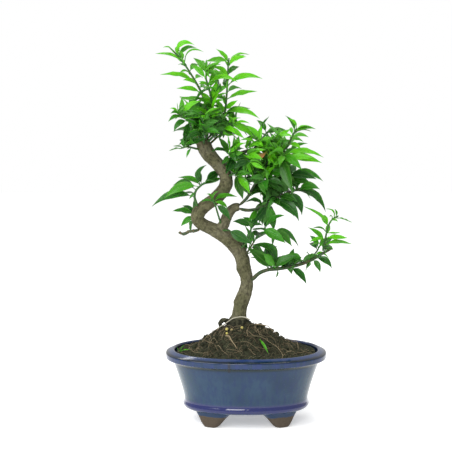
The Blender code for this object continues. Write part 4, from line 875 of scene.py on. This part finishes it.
def make_trunk(finish):
    """Trunk, limb and roots as one skin, then bark: ridges along the grain, rings, pits and old branch scars,
    each a height by which a point moves out along its normal."""
    points, faces, count = [], [], 0
    for table in (TRUNK, LIMB, *ROOTS):
        more, quads = limb_mesh(table)
        points.append(more)
        faces.append(quads + count)
        count += len(more)
    mesh = new_mesh("trunk", np.vstack(points) + POT_MIDDLE, np.vstack(faces), merge=1e-6)
    mesh = finished(mesh, ("REMESH", {"mode": "VOXEL", "voxel_size": 0.52 * MM}),
                    ("SMOOTH", {"factor": 0.5, "iterations": 4}))
    co, out = mesh_points(mesh) - POT_MIDDLE, mesh_normals(mesh)
    # place along the nearest grain line, and the turn round it
    line = wood_line()[:, :3]
    ahead = unit(np.gradient(line, axis=0))
    nearest = np.argmin(((co[:, None] - line[None]) ** 2).sum(-1), 1)
    way = ahead[nearest]
    along = nearest * LINE_STEP * MM + ((co - line[nearest]) * way).sum(-1)
    spoke = out - way * (out * way).sum(-1, keepdims=True)
    level = unit(np.cross(way, [0.0, 1.0, 0.15]))
    turn = np.arctan2((spoke * np.cross(way, level)).sum(-1), (spoke * level).sum(-1))
    girth = np.stack([np.cos(turn), np.sin(turn)], -1) * 5.5 * MM
    grain = np.concatenate([girth, along[:, None] * 0.42], -1)
    ridges = 1 - 2 * np.abs(rough_noise(grain, 1.5 * MM, 3, 2))
    rings = rough_noise(np.concatenate([girth * 0.35, along[:, None]], -1), 2.6 * MM, 2, 31)
    pits = rough_noise(co, 1.4 * MM, 2, 40)
    swell = soft_noise(co, 13 * MM, 50)
    earthy = np.clip((98 - co[:, 2] / MM) / 4, 0, 1) * rough_noise(co, 3.2 * MM, 3, 60)
    relief = 0.26 * ridges + 0.14 * rings + 0.13 * pits + 0.45 * swell + 1.1 * earthy
    for x, y, z, radius, stand in KNOBS:
        away = np.linalg.norm(co - np.array([x, y, z]) * MM, axis=1) / (radius * MM)
        relief = relief + stand * np.exp(-away ** 2) - 0.4 * stand * np.exp(-(away * 2.6) ** 2)
    # the sawn ends of the trunk, flat and a little hollow, and of the limb are darker
    sawn_top = (co[:, 2] / MM > TRUNK[-1][2] - 0.5) & (out[:, 2] > 0.6)
    sawn_stub = (np.linalg.norm(co - np.array(LIMB[-1][:3]) * MM, axis=1) < 4.4 * MM) & (out[:, 0] > 0.55)
    relief = np.where(sawn_top, -0.3, relief)
    move_points(mesh, co + out * relief[:, None] * MM + POT_MIDDLE)
    give_values(mesh, "crack", np.clip(0.5 - 0.75 * ridges - 0.25 * rings, 0, 1))
    give_values(mesh, "cut", (sawn_stub | sawn_top) * 0.8)
    return add_piece("bark_trunk", mesh, finish, "bark", "trunk")


# ---- stems and leaves ----------------------------------------------------------------------------

LEAF_ROWS = 13
PETIOLE = 0.10             # the stalk's share of a leaf's length
BLADE_ALONG = np.concatenate([[0, 0.05, PETIOLE], np.linspace(PETIOLE, 1, LEAF_ROWS - 2)[1:]])
BLADE_ACROSS = np.array([-1, -0.52, 0, 0.52, 1])
STATIONS = np.array([0, 0.40, 0.72, 1.0])      # of a CAD leaf's points along it
BLADE_THICK = 0.22 * MM
BLADE_EDGE = np.radians(55)
WIDTH_GAIN = 1.08          # a rounded outline needs this much more than the CAD blade's corners

# leaves bunch where many middles lie within reach of theirs, or on a loose shoot where some do
CROWD_REACH, CROWD_LEAST, COMPANIONS = 15 * MM, 17, 2
LOOSE_SHOOTS, LOOSE_LEAST = ("low_branch",), 7
OPEN_SHOOTS = ("low_", "left_", "crown_tip", "fallen", "loop", "trunk_shoot_low", "trunk_bend", "right_tip")
# one dried edge in the crown's front
DRY_SPOT, DRY_REACH = np.array([15, -14, 247]) * MM, 5.5 * MM

# how young and how lit a shoot's leaves look, the light and shade being painted, where their height alone
# wouldn't say
YOUTH_AND_LIGHT = {"low_branch_riser": 0.85, "low_branch_tip": 0.6, "low_branch": 0.12, "side_branch": 0.08,
         "left_shoot": 0.22, "left_back_shoot": 0.3, "trunk_shoot_low": 0.12, "low_side_shoot": 0.15,
         "trunk_bend_sprout": 0.1, "loop_sprout": 0.6, "low_back_shoot": 0.2, "middle_back": 0.1,
         "rising_branch": 0.3, "right_low": 0.25, "trunk_shoot_right": 0.4, "crown_left_under": 0.45,
         "fallen_leaf_left": 0.95, "fallen_leaf_right": 0.95}


def welded(node):
    """Points and triangles of a CAD node, with the points that coincide made one."""
    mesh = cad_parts[node].data
    co = mesh_points(mesh)
    mesh.calc_loop_triangles()
    faces = np.empty(len(mesh.loop_triangles) * 3, np.int32)
    mesh.loop_triangles.foreach_get("vertices", faces)
    _, first, index = np.unique(np.round(co / 2e-6).astype(np.int64), axis=0, return_index=True,
                                return_inverse=True)
    faces = index.reshape(-1)[faces].reshape(-1, 3)
    whole = (faces[:, 0] != faces[:, 1]) & (faces[:, 1] != faces[:, 2]) & (faces[:, 0] != faces[:, 2])
    return co[first], faces[whole]


def neighbours_of(faces):
    """For each point, the set of the points that share an edge with it."""
    found = {}
    for a, b, c in faces.tolist():
        found.setdefault(a, set()).update((b, c))
        found.setdefault(b, set()).update((a, c))
        found.setdefault(c, set()).update((a, b))
    return found


def leaves_in(points, faces):
    """Each leaf of a node as its ten points: root, two rings of three and the tip. A tip has three
    neighbours that all touch each other, and the rings follow from it."""
    near = neighbours_of(faces)
    found = []
    for tip, ring in near.items():
        if len(ring) != 3 or any(not ring - {p} <= near[p] for p in ring):
            continue
        lower = set.union(*(near[p] for p in ring)) - ring - {tip}
        if len(lower) != 3:
            continue
        root = set.union(*(near[p] for p in lower)) - lower - ring
        if len(root) == 3:
            found.append((sorted(root), sorted(lower), sorted(ring), tip))
    return found


def blade_frames(points, leaves):
    """For each leaf: its chain of points at 0, 0.40, 0.72 and 1 of its length, its width at 0.40, and the way
    its face looks at both rings. A ring's keel is the point across from its longest side."""
    root = points[[leaf[0] for leaf in leaves]].mean(1)
    tip = points[[leaf[3] for leaf in leaves]]
    middles, widths, looks = [], [], []
    for ring in (1, 2):
        corners = points[[leaf[ring] for leaf in leaves]]
        sides = np.stack([np.linalg.norm(corners[:, (k + 1) % 3] - corners[:, (k + 2) % 3], axis=-1)
                          for k in range(3)], -1)
        keel_at = sides.argmax(1)
        rows = np.arange(len(leaves))
        keel = corners[rows, keel_at]
        middle = (corners.sum(1) - keel) / 2
        middles.append(middle)
        widths.append(sides.max(1))
        looks.append(unit(middle - keel))
    return np.stack([root, *middles, tip], 1), widths[0], np.stack(looks, 1)


def turned(vectors, axis, angle):
    """Vectors turned about a unit axis by an angle: Rodrigues' formula."""
    c, s = np.cos(angle)[..., None], np.sin(angle)[..., None]
    along = (vectors * axis).sum(-1, keepdims=True)
    return vectors * c + np.cross(axis, vectors) * s + axis * along * (1 - c)


def companions(chain, width, looks, crowd, wanted, least, dice):
    """Leaves that share a seat with a CAD leaf, as leaves in a bunch do. Each tries turns about a nearly
    upright axis, and takes those whose middles have the most of the crown's leaves round them; where there
    are few round it, as on a long open shoot, none grows."""
    count, tries = len(chain), 12
    axis = unit(dice.normal(0, 0.35, (count, tries, 3)) + np.array([0, 0, 1.0]))
    angle = dice.uniform(0.7, 5.6, (count, tries))
    size = dice.uniform(0.72, 1.02, (count, tries))[..., None, None]
    arms = (chain - chain[:, :1])[:, None] * size
    arms = turned(arms, axis[:, :, None], angle[:, :, None])
    middles = (chain[:, :1] + arms[:, :, 1])[:, :, None, ::2]
    tips = (chain[:, :1] + arms[:, :, 3])[:, :, None, ::2]
    near = (np.linalg.norm(middles - crowd[None, None, :, ::2], axis=-1) < CROWD_REACH).sum(-1)
    near = near + 0.7 * (np.linalg.norm(tips - crowd[None, None, :, ::2], axis=-1) < CROWD_REACH).sum(-1)
    best = np.argsort(-near, 1)[:, :wanted]
    rows = np.repeat(np.arange(count), wanted)
    best = best.reshape(-1)
    taken = near[rows, best] > least
    rows, best = rows[taken], best[taken]
    made = chain[rows, :1] + arms[rows, best]
    faces = turned(looks[rows], axis[rows, best][:, None], angle[rows, best][:, None])
    return made, width[rows] * size[rows, best, 0, 0], faces


def three_pointed(chain, width, looks):
    """A leaf with two smaller ones that rise from its root, turned up about the pot's cross axis."""
    rise = np.sign(chain[0, 0, 0] - chain[0, 3, 0])
    angle, size = np.radians([0, 48, 112]) * rise, np.array([0.85, 0.70, 0.50])
    axis = np.broadcast_to([0, 1.0, 0], (3, 1, 3))
    arms = turned((chain[:1] - chain[:1, :1]) * size[:, None, None], axis, angle[:, None])
    looks = turned(np.repeat(looks[:1], 3, 0), axis, angle[:, None])
    return chain[:1, :1] + arms, width[:1] * size * 1.3, looks


def leaf_outline(t):
    """Half width over the half of the greatest width: a thin stalk, then a blade that swells by a power and
    thins by another to a long drip tip."""
    s = np.clip((t - PETIOLE) / (1 - PETIOLE), 0, 1)
    blade = s ** 0.85 * (1 - s) ** 1.45
    peak = 0.85 / (0.85 + 1.45)
    return blade / (peak ** 0.85 * (1 - peak) ** 1.45)


def leaf_shapes(chain, width, looks, dice):
    """All of a node's leaves as lens shells, (leaves, rows, columns, 3). The middle line is the curve through
    the CAD leaf's four stations. Over it, the upper side is raised at its edges and waved along them, and the
    lower side hangs a blade's thickness below and meets it at the edges."""
    root, tip, count = chain[:, 0], chain[:, 3], len(chain)
    t, u = BLADE_ALONG, BLADE_ACROSS
    # the polynomial through the four stations
    weights = np.ones((LEAF_ROWS, 4))
    for i in range(4):
        for j in range(4):
            if i != j:
                weights[:, i] *= (t - STATIONS[j]) / (STATIONS[i] - STATIONS[j])
    middle = np.einsum("ri,nik->nrk", weights, chain)
    ahead = unit(np.gradient(middle, axis=1))
    share = np.clip((t - 0.40) / 0.32, 0, 1)[None, :, None]
    look = looks[:, :1] * (1 - share) + looks[:, 1:] * share
    look = unit(look - ahead * (look * ahead).sum(-1, keepdims=True))
    across = np.cross(ahead, look)
    half = width[:, None] / 2 * WIDTH_GAIN * leaf_outline(t)[None]
    half = np.maximum(half, (0.32 * MM * (1 - t) + 0.03 * MM)[None])
    fold = dice.uniform(0.18, 0.42, (count, 1, 1))
    ranges = ((0.0, 0.16), (14, 24), (0, 6))
    depth, pace, phase = (dice.uniform(low, high, (count, 1, 1)) for low, high in ranges)
    wave = depth * np.sin(t[None, :, None] * pace + phase + np.sign(u)[None, None] * 0.9) * np.abs(u) ** 2
    lift = half[..., None] * (fold * np.abs(u) ** 1.3 + wave)
    upper = (middle[:, :, None] + across[:, :, None] * (half[..., None] * u)[..., None]
             + look[:, :, None] * lift[..., None])
    thick = np.minimum(BLADE_THICK, half * 0.7)
    thick = np.where(t < PETIOLE + 0.01, 0.5 * MM, thick)
    below = upper[:, :, 3:0:-1] - look[:, :, None] * (thick[..., None] * np.array([0.8, 1.6, 0.8]))[..., None]
    shapes = np.concatenate([upper, below], 2)[:, :, ::-1]
    shapes[:, -1] = tip[:, None]
    shapes[:, 0] = root[:, None] + (shapes[:, 0] - root[:, None]) * 0.9
    # the first row closes in a point inside the stem
    cap = root[:, None] - ahead[:, :1] * 0.3 * MM
    return np.concatenate([np.repeat(cap[:, :, None], shapes.shape[2], 2), shapes], 1)


def leaf_mesh(name, shapes, youth_and_light, dice):
    """The mesh of a node's leaves, with each point's place on the blade, and its leaf's age with painted
    light and shade, and tint.
    """
    count, rows, columns = shapes.shape[:3]
    points, faces = many_grids(shapes)
    mesh = new_mesh(name, points, faces)
    upper = BLADE_ACROSS / 2 + 0.5
    u = np.concatenate([upper, upper[3:0:-1]])[::-1]
    v = np.concatenate([[0], BLADE_ALONG])
    grid = np.stack(np.broadcast_arrays(u[None, None], v[None, :, None]), -1)
    grid = np.broadcast_to(grid, (count, rows, columns, 2)).reshape(-1, 2)
    loops = np.empty(len(mesh.loops), np.int32)
    mesh.loops.foreach_get("vertex_index", loops)
    mesh.uv_layers.new(name="blade").data.foreach_set("uv", grid[loops].astype(np.float32).ravel())
    under = np.concatenate([[0.3, 0, 0, 0, 0.3], np.ones(3)])[::-1]
    per_leaf = rows * columns
    give_values(mesh, "under", np.tile(under, count * rows))
    give_values(mesh, "age_and_light", np.repeat(np.clip(youth_and_light, 0, 1), per_leaf))
    give_values(mesh, "tint", np.repeat(dice.beta(1.2, 4, count), per_leaf))
    return mesh


def read_shoot(name):
    """A CAD shoot: its points, faces and leaves, and the frames of its blades."""
    points, faces = welded(name)
    leaves = leaves_in(points, faces)
    return points, faces, leaves, *blade_frames(points, leaves)


def youth_and_light_of(name, tips):
    """How young and how lit each leaf looks, 0 to 1, the light being painted: its shoot's own number, or else
    its height in the crown, whose young and lit part starts lower on the right, times how far it reaches to
    the front, so that leaves at the back of the crown get painted shade."""
    if name in YOUTH_AND_LIGHT:
        return np.full(len(tips), YOUTH_AND_LIGHT[name])
    x, y, z = tips.T / MM
    rightwards = np.clip((x + 30) / 30, 0, 1)
    high = np.clip((z - 262 + 44 * rightwards) / (44 - 24 * rightwards), 0, 1)
    outer = np.clip((-y + 14) / 28, 0, 1) * 0.35 + 0.65
    return high * outer * 1.02 + 0.03


def make_foliage(name, shoot, crowd, leaf_finish, stem_finish, stem_slot, number):
    """One CAD shoot as two pieces: its stem, rounded by subdivision, and its leaves."""
    dice = np.random.default_rng(100 + number)
    points, faces, leaves, chain, width, looks = shoot
    own = len(chain)
    if name in LOOSE_SHOOTS or not name.startswith(OPEN_SHOOTS):
        wanted, least = (1, LOOSE_LEAST) if name in LOOSE_SHOOTS else (COMPANIONS, CROWD_LEAST)
        more = companions(chain, width, looks, crowd, wanted, least, dice)
        chain, width, looks = (np.concatenate(pair) for pair in zip((chain, width, looks), more))
    if name.startswith("fallen"):
        width = width * 0.5
    if name == "fallen_leaf_left":
        chain, width, looks = three_pointed(chain, width, looks)
    youth_and_light = youth_and_light_of(name, chain[:, 3] - POT_MIDDLE)
    # young leaves are narrower, and those of the left shoot all are
    width = width * (0.84 if name == "left_shoot" else 1) * (1.06 - 0.34 * np.clip(youth_and_light, 0, 1))
    # each leaf's number wanders at random, and the companion leaves are a little darker
    youth_and_light = youth_and_light + dice.normal(0, 0.23, len(chain)) - 0.15 * (np.arange(len(chain)) >= own)
    mesh = leaf_mesh(f"{name}_leaves", leaf_shapes(chain, width, looks, dice), youth_and_light, dice)
    away = np.linalg.norm(mesh_points(mesh) - POT_MIDDLE - DRY_SPOT, axis=1)
    give_values(mesh, "dry", np.clip(1.4 - away / DRY_REACH, 0, 1) * (name.startswith("front")))
    add_piece(f"{name}_leaves", mesh, leaf_finish, "leaf", name)
    mesh.set_sharp_from_angle(angle=BLADE_EDGE)
    blade = {p for leaf in leaves for p in (*leaf[1], *leaf[2], leaf[3])}
    keep = np.array([not blade & set(face) for face in faces.tolist()])
    if keep.sum() > 3:
        stem = np.vstack([faces[keep], [leaf[0] for leaf in leaves]])
        points = rooted(points, np.unique(stem))
        fatter = 0.6 * MM if stem_slot == "green_bark" else 0.35 * MM
        add_piece(f"{name}_stem", stem_mesh(f"{name}_stem", points, stem, fatter), stem_finish, stem_slot)


def rooted(points, stem):
    """Points with the stem's end at the trunk, the ones within a hair of the nearest, moved into the wood."""
    wood = wood_line()
    wood[:, :3] += POT_MIDDLE
    away = np.linalg.norm(points[stem][:, None] - wood[None, :, :3], axis=-1)
    nearest = away.argmin(1)
    depth = away.min(1) - wood[nearest, 3]
    if depth.min() > 2.5 * MM:
        return points
    start = depth < depth.min() + 0.9 * MM
    inner = wood[np.maximum(nearest[start] - 2, 0), :3]
    points = points.copy()
    inwards = unit(inner - points[stem[start]])
    points[stem[start]] += inwards * (np.maximum(depth[start], 0) + 2.2 * MM)[:, None]
    return points


def stem_mesh(name, points, faces, fatter):
    """A four-sided CAD stem a little thickened, then rounded."""
    used, index = np.unique(faces, return_inverse=True)
    mesh = new_mesh(name, points[used], index.reshape(-1, 3))
    face_outwards(mesh)
    co, out = mesh_points(mesh), mesh_normals(mesh)
    move_points(mesh, co + out * fatter)
    return finished(mesh, ("SUBSURF", {"levels": 2, "render_levels": 2}))


def make_dead_twig(finish):
    """The dry twig: the CAD twig rounded, with knotty noise along it."""
    points, faces = welded("dead_twig")
    mesh = stem_mesh("dead_twig", points, faces, 0.95 * MM)
    mesh = finished(mesh, ("SUBSURF", {"levels": 1, "render_levels": 1}))
    co, out = mesh_points(mesh), mesh_normals(mesh)
    knots = 0.5 * rough_noise(co, 3.5 * MM, 3, 8) + 0.2 * rough_noise(co, 1.2 * MM, 2, 9)
    move_points(mesh, co + out * knots[:, None] * MM)
    return add_piece("dry_twig", mesh, finish, "green_bark", "dead_twig")


# ---- the studio ----------------------------------------------------------------------------------


def lamp(name, place, aim, width, height, power):
    """A soft light of this width and height that looks at a point."""
    data = bpy.data.lights.new(name, "AREA")
    data.shape, data.size, data.size_y, data.energy = "RECTANGLE", width, height, power
    made = placed(name, data)
    made.location = place
    made.rotation_euler = (Vector(aim) - Vector(place)).to_track_quat("-Z", "Y").to_euler()


ROOM_LIGHT = 0.65


def make_studio():
    """A white room: pale floor, white surroundings and four soft lights."""
    t = np.linspace(-2.5, 2.5, 9)
    x, y = np.meshgrid(t, t)
    points = np.stack([x, y, 0 * x], -1).reshape(-1, 3)
    mesh = new_mesh("floor", points, grid_faces(9, 9, open_columns=True))
    floor = placed("floor", mesh)
    mesh.materials.append(pale_ground())
    scene = bpy.context.scene
    world = bpy.data.worlds.new("white_room")
    world.use_nodes = True
    nodes, links = world.node_tree.nodes, world.node_tree.links
    background, path = nodes["Background"], nodes.new("ShaderNodeLightPath")
    background.inputs["Color"].default_value = (1, 1, 1, 1)
    # seen directly the room is white, and its light is weaker
    strength = nodes.new("ShaderNodeMapRange")
    links.new(path.outputs["Is Camera Ray"], strength.inputs["Value"])
    strength.inputs["To Min"].default_value, strength.inputs["To Max"].default_value = ROOM_LIGHT, 1.0
    links.new(strength.outputs["Result"], background.inputs["Strength"])
    scene.world = world
    scene.view_settings.view_transform = "Standard"
    aim = (0, 0, 0.18)
    lamp("window_left", (-0.9, -0.7, 1.0), aim, 0.9, 0.9, 13)
    lamp("front_soft", (-0.25, -1.3, 0.8), aim, 0.5, 0.5, 7)
    lamp("overhead", (0.25, 0.2, 1.5), aim, 0.6, 0.6, 5)
    lamp("rear_left", (-0.5, 0.9, 1.0), aim, 0.7, 0.1, 1.2)


CAMERA_SIDE, CAMERA_AWAY, CAMERA_HEIGHT = -18.74 * MM, 1.3, 0.323
CAMERA_PITCH, CAMERA_LENS, CAMERA_FILM = 0.108, 112.83, 36.0


def make_camera():
    """The camera, in front of the pot and a little above it, looking slightly down."""
    data = bpy.data.cameras.new("camera")
    data.sensor_width, data.lens = CAMERA_FILM, CAMERA_LENS
    camera = placed("camera", data)
    camera.location = (POT_MIDDLE[0] + CAMERA_SIDE, -CAMERA_AWAY, CAMERA_HEIGHT)
    camera.rotation_euler = (np.pi / 2 - CAMERA_PITCH, 0, 0)
    bpy.context.scene.camera = camera


# ---- assembly ------------------------------------------------------------------------------------


def main():
    """Makes the studio, then every piece of the object."""
    make_camera()
    make_studio()
    make_pot(glaze_and_clay())
    soil_finish, fibre_finish = peat(), fibre()
    make_soil(soil_finish)
    make_crumbs(soil_finish)
    make_fibres(fibre_finish)
    make_surface_roots(fibre_finish)
    make_pellets(pellet_skin())
    make_trunk(bark())
    leaf_finish = leaf_skin()
    green = stem_skin("green_stem", (0.022, 0.095, 0.014), (0.045, 0.065, 0.022), 0.0)
    woody = stem_skin("woody_stem", (0.020, 0.052, 0.014), (0.070, 0.062, 0.032), 0.05)
    plain = {"pot", "soil", "trunk", "dead_twig", "drain_screen_left", "drain_screen_right"}
    shoots = [n for n in sorted(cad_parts) if n not in plain and not n.startswith("pellet")]
    read = {name: read_shoot(name) for name in shoots}
    crowd = np.concatenate([shoot[3][:, 1] for shoot in read.values()])
    for number, name in enumerate(shoots):
        is_branch = name.endswith("branch")
        make_foliage(name, read[name], crowd, leaf_finish, woody if is_branch else green,
                     "green_bark" if is_branch else "leaf", number)
    make_dead_twig(stem_skin("dry_skin", (0.040, 0.066, 0.030), (0.080, 0.092, 0.050), 0.05))
    plastic = moulded_plastic()
    for name in ("drain_screen_left", "drain_screen_right"):
        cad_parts[name].material_slots[0].material = plastic


main()
